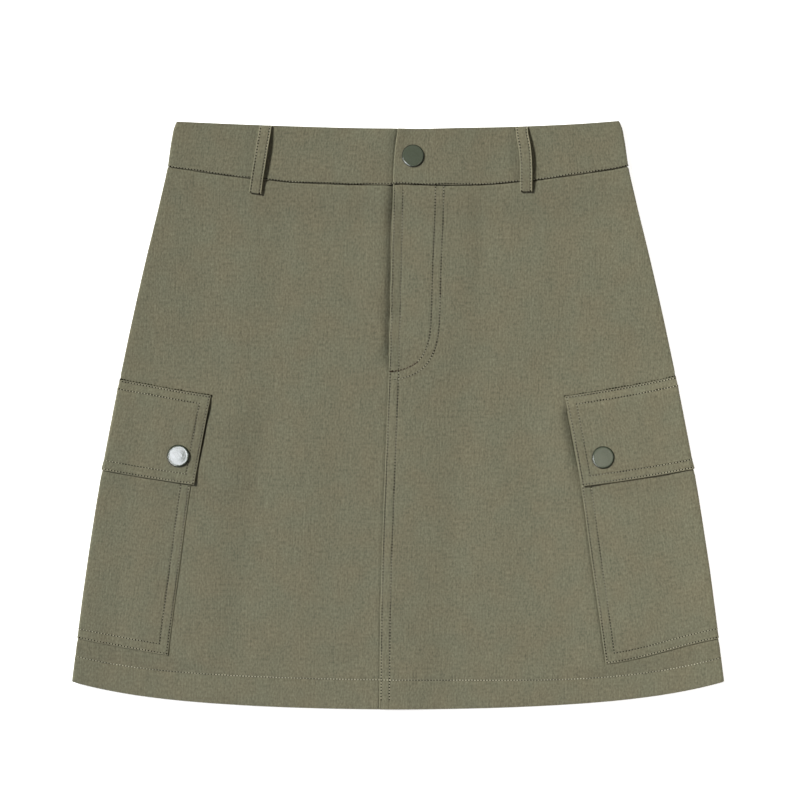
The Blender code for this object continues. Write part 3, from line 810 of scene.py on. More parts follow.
def cloth_material(name, shade, edge_rows, wear):
    """Woven cotton. Grain, slubs and mottling are noises along the threads, and the weave is a product of two
    sines, whose low places are painted a little darker as shade between threads. Along each row of stitches
    the cloth is painted darker as the shade in the row's groove, and along its edges it is lighter, partly
    for abrasion and partly as a painted highlight; both come from the distances kept on the points."""
    look = bpy.context.scene.skirt_cloth
    n = Nodes(name)
    uv = n.add("UVMap", uv_map="cloth").outputs[0]
    grain = n.noise(n.scaled(uv, 0.92, 0.50, 1), 880, 1.0, 0.45)
    warp = n.noise(n.scaled(uv, 1.0, 0.07, 1), 760, 1.0)
    weft = n.noise(n.scaled(uv, 0.14, 1.0, 1), 800, 1.0)
    tone = n.noise(n.scaled(uv, 1.0, 0.45, 1), 17, 2.0, 0.60)
    across, down = n.split(uv)[:2]
    turns = 2 * pi / look.thread
    across = n.math("SINE", n.math("MULTIPLY", across, turns))
    down = n.math("SINE", n.math("MULTIPLY", down, turns * 0.9))
    weave = n.math("MULTIPLY", across, down)

    strength = n.around(grain, look.grain, shade)
    strength = n.around(warp, look.slub, strength)
    strength = n.around(weft, look.slub * 0.6, strength)
    strength = n.around(tone, 0.10, strength)
    # painted shade: the colour dips a little where the weave is low, between threads
    strength = n.math("MULTIPLY_ADD", weave, 0.035, strength)

    edge, fly, hem = n.split(n.add("Attribute", attribute_name="rows").outputs["Vector"])
    rows = [(edge, row) for row in edge_rows] + [(fly, 0.0), (fly, FLY_ROWS_APART), (hem, 0.0)]
    # painted shade: the cloth is darkened along each row of stitches, as the shade in its groove
    groove_shades = [n.bell(distance, row, GROOVE_SHADE_WIDTH) for distance, row in rows]
    groove = groove_shades[0]
    for other in groove_shades[1:]:
        groove = n.math("MAXIMUM", groove, other)
    # lighter along edges, partly for abrasion and partly as a painted highlight
    worn_and_lit = n.math("MULTIPLY", n.bell(edge, 0.0, WORN_AND_LIT_WIDTH), look.wear * wear)
    strength = n.math("ADD", strength, worn_and_lit)
    strength = n.math("MULTIPLY", strength, n.math("MULTIPLY_ADD", groove, -0.18, 1.0))

    ramp = n.add("ValToRGB", {0: n.noise(uv, 42, 1.5)})
    cool, warm = ramp.color_ramp.elements
    cool.position, cool.color = 0.36, (*look.cool, 1)
    warm.position, warm.color = 0.66, (*look.warm, 1)
    ramp.color_ramp.elements.new(0.50).color = (*look.base, 1)

    height = n.math("MULTIPLY_ADD", weave, 0.30, n.math("MULTIPLY", grain, 0.9))
    height = n.math("MULTIPLY_ADD", warp, 0.9, height)
    n.bump(n.math("MULTIPLY_ADD", groove, -1.2, height), 0.00016)
    sheen = {"Sheen_Weight": 0.22, "Sheen_Roughness": 0.45, "Sheen_Tint": (0.80, 0.78, 0.66, 1)}
    return n.surface(ramp.outputs[0], strength, Roughness=0.86, Specular_IOR_Level=0.28, **sheen)


def thread_material(name, tone, look):
    """Twisted sewing thread: slanting plies round each stitch, painted a little darker on one side of each
    ply as shade, a little noise, stretches placed by noise that are painted dimmer as the shade of thread
    that sinks away, and ends painted dark as the shade where the thread dives into its needle holes."""
    n = Nodes(name)
    turn, along = n.split(n.add("UVMap", uv_map="thread").outputs[0])[:2]
    slant = n.math("ADD", n.math("MULTIPLY", turn, 2.0), n.math("MULTIPLY", along, 7.0))
    twist = n.math("SINE", n.math("MULTIPLY", slant, 2 * pi))
    strength = n.around(n.noise(n.place(), 900), 0.7 * look.shade, look.shade)
    # painted shade: the colour dips on one side of each ply, with the twist
    strength = n.math("MULTIPLY_ADD", twist, 0.10, strength)
    # painted shade: stretches placed by noise are dimmed towards faint, as thread sunk into the cloth
    stretch = n.noise(n.scaled(n.place(), 1, 1, 0), 26)
    strength = n.math("MULTIPLY", strength, n.fade(stretch, 0.40, 0.58, look.faint / look.shade, 1.0))
    # painted shade: the ends darken by the row's hole factor where the thread dives into the cloth
    from_middle = n.math("MULTIPLY", n.math("ABSOLUTE", n.math("SUBTRACT", along, 0.5)), 2.0)
    strength = n.math("MULTIPLY", strength, n.fade(from_middle, 0.38, 0.64, 1.0, look.hole))
    n.bump(twist, 0.00004)
    return n.surface(tone, strength, Roughness=0.75, Specular_IOR_Level=0.15)


def hole_shade_material(name):
    """Painted shade in the pits of needle holes: near-black, with a little of the cloth's colour."""
    n = Nodes(name)
    strength = n.math("MULTIPLY_ADD", n.noise(n.place(), 1500, 1.0), 0.8, 0.6)
    return n.surface(bpy.context.scene.skirt_sewing.hole, strength, Roughness=1.0, Specular_IOR_Level=0.0)


def enamel_material(name):
    """Enamel on a pressed cap: a thin clear coat over shining colour that is a little uneven."""
    n = Nodes(name)
    at = n.place()
    uneven = n.noise(at, 520, 3.0, 0.6)
    n.bump(n.math("MULTIPLY_ADD", uneven, 0.5, n.noise(at, 1300, 1.0)), 0.00008)
    coat = {"Coat_Weight": 0.30, "Coat_Roughness": 0.10, "Coat_IOR": 1.6}
    rough = n.math("MULTIPLY_ADD", uneven, 0.14, 0.12)
    tone = bpy.context.scene.skirt_snaps.enamel
    return n.surface(tone, n.around(uneven, 0.35, 1.0), Roughness=rough, Specular_IOR_Level=0.85, **coat)


def rim_shade_material(name):
    """The rim of a cap, painted dark as the contact shadow and outline of shade round it."""
    n = Nodes(name)
    strength = n.math("MULTIPLY_ADD", n.noise(n.place(), 900), 0.6, 0.7)
    return n.surface(bpy.context.scene.skirt_snaps.edge, strength, Roughness=0.60, Specular_IOR_Level=0.20)


def floor_material(name):
    """Matt white board with a faint tooth, lit a little from within."""
    stage = bpy.context.scene.skirt_stage
    n = Nodes(name)
    tooth = n.noise(n.place(), 420)
    n.bump(tooth, 0.00002)
    glow = {"Emission_Color": (1, 1, 1, 1), "Emission_Strength": stage.glow}
    return n.surface(stage.floor, n.around(tooth, 0.01, 1.0), Roughness=0.9, **glow)


def shared(name, maker, *values):
    """A material that several pieces use is made once."""
    return bpy.data.materials.get(name) or maker(name, *values)


# ---------------------------------------------------------------- fronts and back

ROW_STEP = 0.0020
COLUMN_STEP = 0.0016
TUCK = 0.0015  # how far a panel dips under the band's edge
HEM_ARC = (25, 55, 90, 125, 155)  # angles in degrees round the hem's turned edge
INSIDE_ROWS = 12  # last rows of a panel that its turned hem repeats inside
SEAM_REACH = 0.080  # x beyond which the left front has no row of its own edge
EDGE_STEPS = steps_in(EDGE_ROW, SECOND_ROW)

HEM_FULLNESS = 0.00012  # how far the double cloth below the hem's row stands out
HEM_PUCKER = 0.00012
HEM_GROOVE = 0.00018  # how far the hem's row pulls into the cloth
EDGE_WAVER = 0.00034  # how far the left front's edge wavers from side to side
FLY_STAND = 0.00070  # how far that edge stands off along the fly
SEAM_PRESS = 0.00062  # how far it is pressed down along the seam
FLY_GROOVE = 0.00013  # how far the rows of the fly and the seam pull into the cloth
FLY_PUCKER = 0.00010
LAP_FULLNESS = 0.0006  # how far the right front swells beside the fly

# Cloth beside an edge that lies over it: how far it sinks, how wide its slope is, and how far it falls
# right beside the edge.
FLAP_TRENCH = {1: (0.0023, 0.0095, 0.00030), -1: (0.00015, 0.0030, 0.00045)}
POCKET_TRENCH = (0.00060, 0.0024, 0.0)
FLY_TRENCH = (0.00270, 0.0092, 0.00005)
SEAM_TRENCH = (0.00020, 0.0040, 0.00012)
BAND_TRENCH = (0.00030, 0.0070, 0.00040)


def panel_levels():
    """Levels of a panel's rows: even, with close rows in the ditch under the band and at the hem."""
    ditch = BAND_END + np.array([-0.0030, -0.0012, -0.0003, 0.0003, 0.0008, 0.0015, 0.0026])
    count = int((HEM_ROW_LEVEL - BAND_END) / ROW_STEP)
    body = np.linspace(BAND_END + 0.0046, HEM_ROW_LEVEL - 0.0012, count)
    stitch = HEM_ROW_LEVEL + np.array([-0.0005, 0.0, 0.0005, 0.0013])
    hem = np.linspace(HEM_ROW_LEVEL + 0.0026, HEM - HEM_TURN, 9)
    return np.concatenate([ditch, body, stitch, hem])[:, None]


def across_and_drop(points):
    return points[..., 0], TOP - points[..., 1]


def below_hem_row(points):
    """How far points lie below the hem's row of stitches, measured along the drop."""
    x, drop = across_and_drop(points)
    return drop - (hem_drop(x) - curve(HEM_ROW, x))


def press_hem(points):
    """The hem's groove, the fuller cloth below it, where it is double, and its puckers."""
    below = below_hem_row(points)
    double = HEM_FULLNESS * ease(below, 0.0004, 0.0020)
    pucker = HEM_PUCKER * waves(23, points[..., 0], (0.0230, 0.0131, 0.0083)) * bell(below, 0.0060)
    return raised(points, double + pucker - HEM_GROOVE * bell(below, 0.0006))


def turned_hem(points, across):
    """Carries a panel round its hem and up the inside: an arc of the turn's radius below the last row,
    then the panel's own last rows, moved in by twice that radius."""
    normals = normals_of(points)
    down = unit(points[-1] - points[-2])
    angles = np.radians(HEM_ARC)[:, None, None]
    arc = points[-1] + HEM_TURN * (down * np.sin(angles) - normals[-1] * (1 - np.cos(angles)))
    inside = (points - 2 * HEM_TURN * normals)[-INSIDE_ROWS:][::-1]
    whole = np.concatenate([points, arc, inside])
    below = lengths(whole, 0)[len(points) :] - lengths(whole, 0)[len(points) - 1]
    across = np.concatenate([across, np.repeat(across[-1:], len(arc), 0), across[-INSIDE_ROWS:][::-1]])
    y = points[..., 1] - TOP
    return Grid(whole, across, np.concatenate([y, y[-1:] + below]))


def add_panel(node, points, levels, edge=FAR, fly=FAR, way=1, flat=None):
    """Bends a panel's top down into the ditch, so that the band's edge stands over it, presses its hem,
    turns it up and adds the panel. Its weave is measured from the centre line in the given way, and
    beyond a number of flat columns also by the height that the side fold falls."""
    points = raised(points, -TUCK * ease(levels, BAND_END + 0.0014, BAND_END - 0.0006))
    points = press_hem(points)
    x, drop = across_and_drop(points)
    across = way * x - centre_front(drop)
    if flat:
        across[:, flat - 1 :] += lengths(points[:, flat - 1 :] * [0, 0, 1], 1)
    grid = turned_hem(points, across)
    rows = row_distances(points, edge, fly, below_hem_row(points))
    turned = np.full((len(grid.points) - len(points), *rows.shape[1:]), FAR)
    wall = bpy.context.scene.skirt_cloth.wall
    add_cloth(node, grid, np.concatenate([rows, turned]), "body", wall)


def fold_columns(side):
    """Columns of a front panel beside its side fold: even, and close together by the flap's edge."""
    edge = pocket_reach(side, "front") + FLAP_MARGIN + FLAP_INWARD[side] - 0.0028
    even = np.arange(FOLD_STEPS[-1] + COLUMN_STEP, edge + FLAP_STEPS[0] - 0.0005, COLUMN_STEP)
    return np.concatenate([FOLD_STEPS, even, edge + np.array(FLAP_STEPS)])


def trench(beyond, sink, width, fall):
    """How far cloth sinks beside an edge that lies over it: a slope that steepens towards the edge, and
    a short steep fall right beside it. Under the edge it rises again."""
    slope = np.clip(1 - np.abs(beyond) / width, 0, 1) ** 2
    return -sink * slope - fall * ease(beyond, 0.0016, 0.0003) * ease(beyond, -0.0090, -0.0010)


def beside_flap(x, drop, level, side):
    """A trench along the inner edge of a flap, between its top and its end."""
    beyond = half_width(drop) - side * x - pocket_reach(side, "front") - FLAP_MARGIN - FLAP_INWARD[side]
    along = ease(level, FLAP_TOP + 0.002, FLAP_TOP + 0.016) * ease(level, FLAP_END + 0.006, FLAP_END - 0.004)
    above_foot = 0.40 + 0.60 * ease(level, FLAP_END - 0.006, FLAP_END - 0.030)
    return trench(beyond, *FLAP_TRENCH[side]) * along * above_foot


def beside_pocket(x, drop, level, side):
    """A narrow trench along the inner edge of a pocket, below its flap."""
    beyond = half_width(drop) - side * x - pocket_reach(side, "front") - curve(PATCH_INWARD[side], level)
    along = ease(level, FLAP_END, FLAP_END + 0.010) * ease(level, PATCH_END + 0.003, PATCH_END - 0.003)
    return trench(beyond, *POCKET_TRENCH) * along


def lap_edge(drop):
    """The left front's own edge, which wavers a little along the opening."""
    waver = EDGE_WAVER * waves(33, drop, (0.031, 0.017, 0.0093))
    return centre_front(drop) + waver * cover(drop, 0.065, 0.175, 0.015)


def smooth_line(table, step):
    """A smooth line through a table's places: cubics over the distance along it, evenly sampled."""
    places = np.array(table, float)
    at = lengths(places[None], 1)[0]
    s = np.linspace(0, at[-1], int(at[-1] / step) + 2)
    return np.stack([curve(np.stack([at, places[:, k]], 1), s) for k in (0, 1)], axis=1)


def fly_distance(x, drop):
    """Signed distance from the fly's curved row, negative on the side of the opening: the least of the
    distances from its short straight pieces, with the side of that piece."""
    line = smooth_line(FLY_CURVE, 0.0015)
    near, sign = np.full(x.shape, FAR), np.ones(x.shape)
    for (from_x, from_drop), (way_x, way_drop) in zip(line, np.diff(line, axis=0)):
        off_x, off_drop = x - from_x, drop - from_drop
        t = np.clip((off_x * way_x + off_drop * way_drop) / (way_x**2 + way_drop**2), 0, 1)
        off_x, off_drop = off_x - t * way_x, off_drop - t * way_drop
        away = np.hypot(off_x, off_drop)
        sign = np.where(away < near, np.where(way_drop * off_x < way_x * off_drop, -1, 1), sign)
        near = np.minimum(near, away)
    return near * sign


def make_left_front():
    """The lapping front. It runs from the fly edge and centre seam to the left side seam. Its edge
    stands off the right front along the fly and lies down along the seam."""
    levels = panel_levels()
    lines = spread(EDGE_STEPS + [0.0100, 0.0115, 0.0130], fold_columns(1), 0.210, COLUMN_STEP)
    flat = face_part("front", levels, lap_edge, fold_edge(levels, 1), lines, 1)
    x, drop = across_and_drop(flat)
    lift = FLY_STAND * ease(drop, 0.046, 0.075) * ease(drop, 0.186, 0.160)
    lift = lift * (1 + 0.5 * waves(31, drop, (0.062, 0.035))) - SEAM_PRESS * ease(drop, 0.176, 0.192)
    flat[..., 2] += lift * bell(np.maximum(x - lap_edge(drop), 0), 0.0034)
    flat[..., 2] += beside_flap(x, drop, levels, 1)
    flat[..., 2] += beside_pocket(x, drop, levels, 1)
    points = np.concatenate([flat, turn_part(levels, FRONT_TURN, 1)], axis=1)

    x, drop = across_and_drop(points)
    fly = fly_distance(x, drop)
    seam = np.where(x < SEAM_REACH, x - lap_edge(drop), FAR)
    groove = bell(fly, 0.0007) + bell(fly - FLY_ROWS_APART, 0.0007)
    groove = groove + bell(seam - EDGE_ROW, 0.0005) + bell(seam - SECOND_ROW, 0.0005)
    pucker = waves(37, drop, (0.0170, 0.0108, 0.0069)) * bell(seam - 0.004, 0.006)
    pucker = pucker + 0.7 * waves(38, drop + x, (0.015, 0.009)) * bell(fly - 0.003, 0.006)
    points = raised(points, FLY_PUCKER * pucker - FLY_GROOVE * groove)
    add_panel("front_left", points, levels, seam, fly, flat=flat.shape[1])


def make_right_front():
    """The front under the lap. It runs from the fly extension, under the left front, to the right
    side seam, and it sinks a little beside the fly's edge."""
    levels = panel_levels()
    lap = np.interp(levels, *LAP_REACH)
    lines = spread((0, 0.0002, 0.0008), (0, 0.0010), 0.03, 0.003)
    under = face_part("front", levels, lap_line(lap), centre_front, lines, -1)
    lines = spread(TRENCH_STEPS, fold_columns(-1), 0.210, COLUMN_STEP)
    beside = face_part("front", levels, centre_front, fold_edge(levels, -1), lines, -1)
    flat = np.concatenate([under[:, :-1], beside], axis=1)
    x, drop = across_and_drop(flat)
    beyond = centre_front(drop) - x
    fly = ease(drop, 0.036, 0.050) * ease(drop, 0.192, 0.176) * (1 + 0.15 * waves(41, drop, (0.047, 0.029)))
    full = LAP_FULLNESS * ease(np.abs(beyond), 0.050, 0.0)
    flat[..., 2] += (full + trench(beyond, *FLY_TRENCH)) * fly
    flat[..., 2] += trench(beyond, *SEAM_TRENCH) * ease(drop, 0.17, 0.20)
    flat[..., 2] += beside_flap(x, drop, levels, -1)
    points = np.concatenate([flat, turn_part(levels, FRONT_TURN, -1)], axis=1)[:, ::-1]
    add_panel("front_right", points, levels)


def make_back():
    """The back, one piece from side seam to side seam, with its hem turned up inside."""
    levels = panel_levels()
    lines = spread(FOLD_STEPS, (0,), 0.21, 0.0030)
    left = face_part("back", levels, fold_edge(levels, 1), centre_back, lines, 1)
    right = face_part("back", levels, fold_edge(levels, -1), centre_back, lines, -1)
    turns = turn_part(levels, BACK_TURN, 1), turn_part(levels, BACK_TURN[::-1], -1)
    points = np.concatenate([turns[0], left, right[:, -2::-1], turns[1]], axis=1)
    add_panel("back_panel", points, levels, way=-1)


# ---------------------------------------------------------------- waistband, pockets, flaps and loops

CORNER_CURL = 0.0009  # how far the band's lapped corner curls up
END_STAND = 0.00025  # how far the lapped end stands off, over all its height
BAND_SWELL = 0.0013  # how far the band's upper part swells beside the lap
BAND_PUCKER = 0.00010
BAND_GROOVE = 0.00012  # how far the band's lower edge is pulled down
POCKET_FULLNESS = 0.00030  # how much fuller a pocket is in the middle than at its edges
FOOT_STAND = 0.00075  # how far a flap's lower edge stands off
TOP_PRESS = 0.0004  # how far its top is pressed down
SNAP_DIMPLE = (0.012, 0.00030)  # radius and depth of the dimple round a flap's snap
LOOP_CROWN = 0.00006  # how far a front loop's middle stands above its long edges
LOOP_FOLD = 0.0005  # how far its folded lower end stands up
LOOP_WRAP = 0.0015  # how far its upper end bends down over the band's edge
LOOP_PUCKER = 0.00007
LOOP_GROOVE = 0.00016  # how far its rows of stitches pull in
BACK_LOOP_GROOVE = 0.00014


def make_band():
    """The waistband, one folded strip from its end at the centre front round the back to the end under
    the snap. Its top edge is round, and the lapped corner curls up a little."""
    foot_steps = BAND_END - np.array([0.0012, 0.0007, 0.0004, 0.0002, 0.00006, 0.0])
    levels = np.concatenate([CLOSE_STEPS, [0.0016], np.linspace(0.0030, 0.0318, 13), foot_steps])[:, None]
    left, right = fold_edge(levels, 1, True), fold_edge(levels, -1, True)
    start = (*CLOSE_STEPS, 0.0020)

    def part(face, first, last, side, near, far, width=0.17, step=0.0026):
        return face_part(face, levels, first, last, spread(near, far, width, step), side, 0, True)

    front_left = part("front", centre_front, left, 1, start, FOLD_STEPS)
    x, drop = across_and_drop(front_left)
    edge = x - centre_front(drop)
    curl = CORNER_CURL * bell(edge, 0.007) * ease(drop, 0.034, 0.006)
    front_left[..., 2] += curl + END_STAND * bell(edge, 0.004)
    back_left = part("back", left, centre_back, 1, FOLD_STEPS, (0,), step=0.0030)
    back_right = part("back", right, centre_back, -1, FOLD_STEPS, (0,), step=0.0030)
    under = part("front", lap_line(BAND_LAP), centre_front, -1, start, (0, 0.001), BAND_LAP)
    beside = part("front", centre_front, right, -1, TRENCH_STEPS, FOLD_STEPS)
    front_right = np.concatenate([under[:, :-1], beside], axis=1)
    x, drop = across_and_drop(front_right)
    beyond = centre_front(drop) - x
    front_right[..., 2] += trench(beyond, *BAND_TRENCH)
    front_right[..., 2] += BAND_SWELL * bell(beyond - 0.006, 0.014) * ease(drop, 0.020, 0.010)
    turns = [turn_part(levels, BAND_TURN[::side], side, 0, True) for side in (1, -1)]
    parts = [front_left, turns[0], back_left, back_right[:, -2::-1], turns[1], front_right[:, ::-1]]
    points = np.concatenate(parts, axis=1)

    along, _, down, foot = from_edges(points)
    pucker = waves(51, along, (0.0210, 0.0127, 0.0078)) * bell(foot, 0.005)
    points = raised(points, BAND_PUCKER * pucker - BAND_GROOVE * bell(foot, 0.0012))
    grid = Grid(points, np.broadcast_to(along[len(along) // 2], along.shape), -down)
    wall = bpy.context.scene.skirt_cloth.band_wall
    add_cloth("waistband", grid, row_distances(points, along), "band", wall)


def wrap_grid(levels, side, margin, inward, layers):
    """A grid that wraps a side fold, from its edge on the front to its edge on the back. inward carries
    the front edge further in."""
    front_edge = side_line(side, pocket_reach(side, "front") + margin + inward)
    back_edge = side_line(side, pocket_reach(side, "back") + margin)
    fold = fold_edge(levels, side)
    lines = spread(EDGE_STEPS, FOLD_STEPS, 0.080, 0.0022)
    front = face_part("front", levels, front_edge, fold, lines, 0, layers)
    lines = spread(FOLD_STEPS, EDGE_STEPS, 0.070, 0.0022)
    back = face_part("back", levels, fold, back_edge, lines, side, layers)
    points = np.concatenate([front, turn_part(levels, POCKET_TURN, side, layers), back], axis=1)
    return points[:, ::side]


def edged_levels(top, end, steps_top, step=0.0022):
    """Levels from top to end, close together by both."""
    near, far = top + np.array(steps_top), end - np.array(EDGE_STEPS)[::-1]
    count = int(round((far[0] - near[-1]) / step))
    return np.concatenate([near, np.linspace(near[-1], far[0], count + 1)[1:-1], far])[:, None]


def make_pocket(side, word):
    """A patch pocket, turned under and topstitched twice round three sides. Its mouth is under the
    flap. It is a little fuller in the middle than at its edges."""
    levels = edged_levels(PATCH_TOP, PATCH_END, (0, 0.0001, 0.0003, 0.0008, 0.002))
    points = wrap_grid(levels, side, 0.0, curve(PATCH_INWARD[side], levels), 1)
    across, back, down, foot = from_edges(points)
    edge = np.minimum.reduce([across, back, foot])
    inner = across if side > 0 else back
    x, drop = across_and_drop(points)
    uneven = 1 + 0.5 * waves(61 + side, x + 0.4 * drop, (0.05, 0.031))
    full = POCKET_FULLNESS * ease(edge, 0.006, 0.030) * uneven
    full = full - PATCH_PRESS[side] * bell(inner, 0.016) * ease(foot, 0.0, 0.010)
    full = full - PATCH_FOOT[side] * bell(foot, 0.007)
    points = raised(points, np.where(normals_of(points)[..., 2] > 0.5, full, 0))
    points = press_rows(points, edge, 63 + side)
    grid = Grid(points, across, -down)
    wall = bpy.context.scene.skirt_cloth.patch_wall
    add_cloth("pocket_" + word, grid, row_distances(points, edge), "pocket", wall)


def make_flap(side, word):
    """A pocket flap, double, topstitched twice all round and held by a snap."""
    levels = edged_levels(FLAP_TOP, FLAP_END, EDGE_STEPS)
    layers = 1 + ease(levels, FLAP_TOP, PATCH_TOP)
    points = wrap_grid(levels, side, FLAP_MARGIN, FLAP_INWARD[side], layers)
    across, back, down, foot = from_edges(points)
    edge = np.minimum.reduce([across, back, down, foot])
    inner = across if side > 0 else back
    stand = FOOT_STAND * bell(foot, 0.006) * (1 + 0.6 * waves(71 + side, across, (0.047, 0.029)))
    stand = stand - TOP_PRESS * bell(down, 0.0025)
    loose = ease(down, 0.004, 0.022) * (1 + 0.25 * waves(73 + side, down, (0.041, 0.023)))
    stand = stand + FLAP_STAND[side] * loose * bell(inner, 0.0075)
    stand = stand + dimple("snap_" + word, *across_and_drop(points), *SNAP_DIMPLE)
    points = raised(points, np.where(normals_of(points)[..., 2] > 0.2, stand, 0))
    points = press_rows(points, edge, 75 + side)
    grid = Grid(points, lengths(points, 1), -down)
    wall = bpy.context.scene.skirt_cloth.flap_wall
    add_cloth("flap_" + word, grid, row_distances(points, edge), "pocket", wall)


def front_spot(x, drop, side=1):
    """Points on the outside of the front at places given by x and drop, on the band or below it."""
    level = level_at(x, drop)
    band = front_height(np.minimum(level, BAND_END), x, drop, side, 0, True)
    panel = front_height(np.maximum(level, BAND_END), x, drop, side)
    on_band = ease(level, BAND_END + 0.0008, BAND_END - 0.0002)
    return np.stack([x, TOP - drop, panel + (band - panel) * on_band], axis=-1)


def strap_offsets(width, *inner):
    """Distances across a belt loop from its middle line, close together by its edges."""
    edges = np.array([0, 0.00008, 0.00022, 0.00042, 0.00066, 0.0009, LOOP_ROW, *inner])
    return np.concatenate([edges - width / 2, [0], width / 2 - edges[::-1]])[None, :]


def make_front_loop(node, path):
    """A folded strap between its sewn ends, standing off the band. Both long edges are topstitched."""
    path = np.array(path)
    reach = path[-1, 0] - path[0, 0]
    close, even = np.array(CLOSE_STEPS), np.linspace(0.0022, reach - 0.0020, 34)
    from_top = np.concatenate([close, [0.0014], even, reach - close[::-1]])[:, None]
    drop = from_top + path[0, 0]
    x, stand = curve(path[:, :2], drop), np.maximum(curve(path[:, [0, 2]], drop), 0)
    offset = strap_offsets(FRONT_LOOP_WIDTH, 0.0014, 0.0019, 0.0026, 0.0036)
    side = 1 if x[0] > 0 else -1
    base = front_spot(x, drop, side)[..., 2]
    crown = LOOP_CROWN * (1 - (offset / (FRONT_LOOP_WIDTH / 2)) ** 2)
    end = LOOP_FOLD * ease(drop[-1] - drop, 0.0070, 0.0055)
    slant = np.gradient(x[:, 0], drop[:, 0])[:, None]
    grid_x = x + offset
    rim = drop_at(0.0, grid_x) + 0.0002 + from_top
    y = TOP - rim + (rim - drop + offset * slant) * ease(from_top, 0.001, 0.012)
    wrap = LOOP_WRAP * (1 - np.sqrt(1 - (1 - np.clip(from_top / LOOP_WRAP, 0, 1)) ** 2))
    wall = bpy.context.scene.skirt_cloth.loop_wall
    height = base + GAP + wall + stand + crown + end - wrap
    points = np.stack([grid_x, y, height], axis=-1)
    across, back, down, _ = from_edges(points)
    edge = np.minimum(across, back)
    pucker = LOOP_PUCKER * waves(81 + side, down, (0.0083, 0.0051)) * bell(edge, 0.0025)
    points = raised(points, pucker - LOOP_GROOVE * bell(edge - LOOP_ROW, 0.0004))
    # the lightening along the loop's edges, partly abrasion and partly a painted highlight, reaches further
    # in on the right edge, which is turned from the light
    worn_and_lit = np.minimum(across + 0.0001, np.maximum(back - 0.0004, 0))
    rows = row_distances(points, worn_and_lit)
    add_cloth(node, Grid(points, across, -down), rows, "loop", wall)


def make_back_loop(node, centre):
    """A belt loop that lies flat on the table, under the band."""
    low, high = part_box(node)
    drop = np.linspace(TOP - high.y + BACK_LOOP_DIP, TOP - low.y, 24)
    close = np.array(CLOSE_STEPS)
    drop = np.concatenate([drop[0] + close, drop[1:-1], drop[-1] - close[::-1]])[:, None]
    x = centre - centre_front(drop) - strap_offsets(LOOP_WIDTH, 0.0015, 0.0020, 0.0028, 0.0040)
    points = np.stack([x, TOP - drop + 0 * x, 0.00002 + 0 * x], axis=-1)
    across, back, down, _ = from_edges(points)
    edge = np.minimum(across, back)
    points = raised(points, -BACK_LOOP_GROOVE * bell(edge - LOOP_ROW, 0.0004))
    rows = row_distances(points, edge)
    add_cloth(node, Grid(points, across, -down), rows, "loop", BACK_LOOP_WALL)


# ---------------------------------------------------------------- sewing

# How the thread of a row shows. shade is its brightness, hole how dark its ends are, painted as the shade
# where they dive into the cloth, width its thickness, needle the size of the dark plugs painted as the shade
# of its needle holes and pitch its stitch length, all three as shares, rise how high it stands, and faint its
# brightness on stretches placed by noise, painted dimmer as the shade of thread that sinks away. The ditch
# row's faint stretches are painted dark as the shade in the ditch, the seam row's plugs paint the shade line
# along a flap's top, and the shade row paints the shade of the gap by a loop.
Row = namedtuple("Row", "shade hole width needle pitch rise faint")
ROWS = {
    "row": Row(1.62, 0.08, 1.00, 1.12, 1.00, 0.38, 0.72),
    "hem": Row(1.66, 0.26, 1.45, 0.60, 1.00, 0.46, 0.96),
    "ditch": Row(1.15, 0.06, 0.95, 1.10, 1.00, 0.38, 0.30),
    "seam": Row(0.52, 0.05, 0.80, 1.20, 1.00, 0.30, 0.48),
    "tack": Row(1.00, 0.30, 1.45, 0.70, 0.55, 0.36, 0.62),
    "shade": Row(0.10, 0.30, 1.30, 0.80, 0.55, 0.30, 0.10),
}
# The weight of needle holes round a pocket or flap: its two sides, its end and its top.
WEIGHTS = {EDGE_ROW: (1.70, 1.70, 1.25, 1.75), SECOND_ROW: (1.05, 1.05, 0.95, 1.50)}

STITCH_RINGS = np.array([0.0, 0.16, 0.5, 0.84, 1.0])  # places of a stitch's rings along it, as shares
RING_SIZES = np.array([0.75, 0.95, 1.0, 0.95, 0.75])
DIVE = 0.28  # how far the ends of a stitch dive, as a share of the thread's width
STRAY = 0.00006  # how far they stray sideways
HOLE_LENGTH = 0.00045  # half the length of a needle hole
HOLE_WIDTH = 0.00046  # half its width
PLUG_HEIGHTS = (-0.00006, 0.00007)  # of the foot and the top of the dark plug that fills it, painted shade of the needle's pit
SIXTHS = np.arange(6) / 6 * 2 * pi  # angles round a tube
FLY_TOP_ROW = 7  # row of the left front's grid where the stitches beside the fly's edge start
HEM_ROWS_SEWN = 9  # rows below the hem's stitching that the centre seam's stitches run on for
TACK_END = 0.0150  # x where the bar tack ends on the fly's inner row
LOOP_SHADE_ENDS = np.array([(0.0880, 0.0052), (0.0908, 0.0104)])  # x, drop: the ends of a near-black line by a loop, painted shade of the gap at the loop's top


def ring_quads(index):
    """Quads between neighbouring rings of points, which are numbered ring by ring."""
    here, there = index[..., :-1, :], index[..., 1:, :]
    return np.stack([here, there, np.roll(there, -1, -1), np.roll(here, -1, -1)], axis=-1).reshape(-1, 4)


def tube_faces(count, rings, first):
    """Faces of many closed tubes of six sides: quads between their rings, and a cap at each end."""
    index = first + np.arange(count * rings * 6).reshape(count, rings, 6)
    return ring_quads(index), np.concatenate([index[:, 0], index[:, -1, ::-1]])


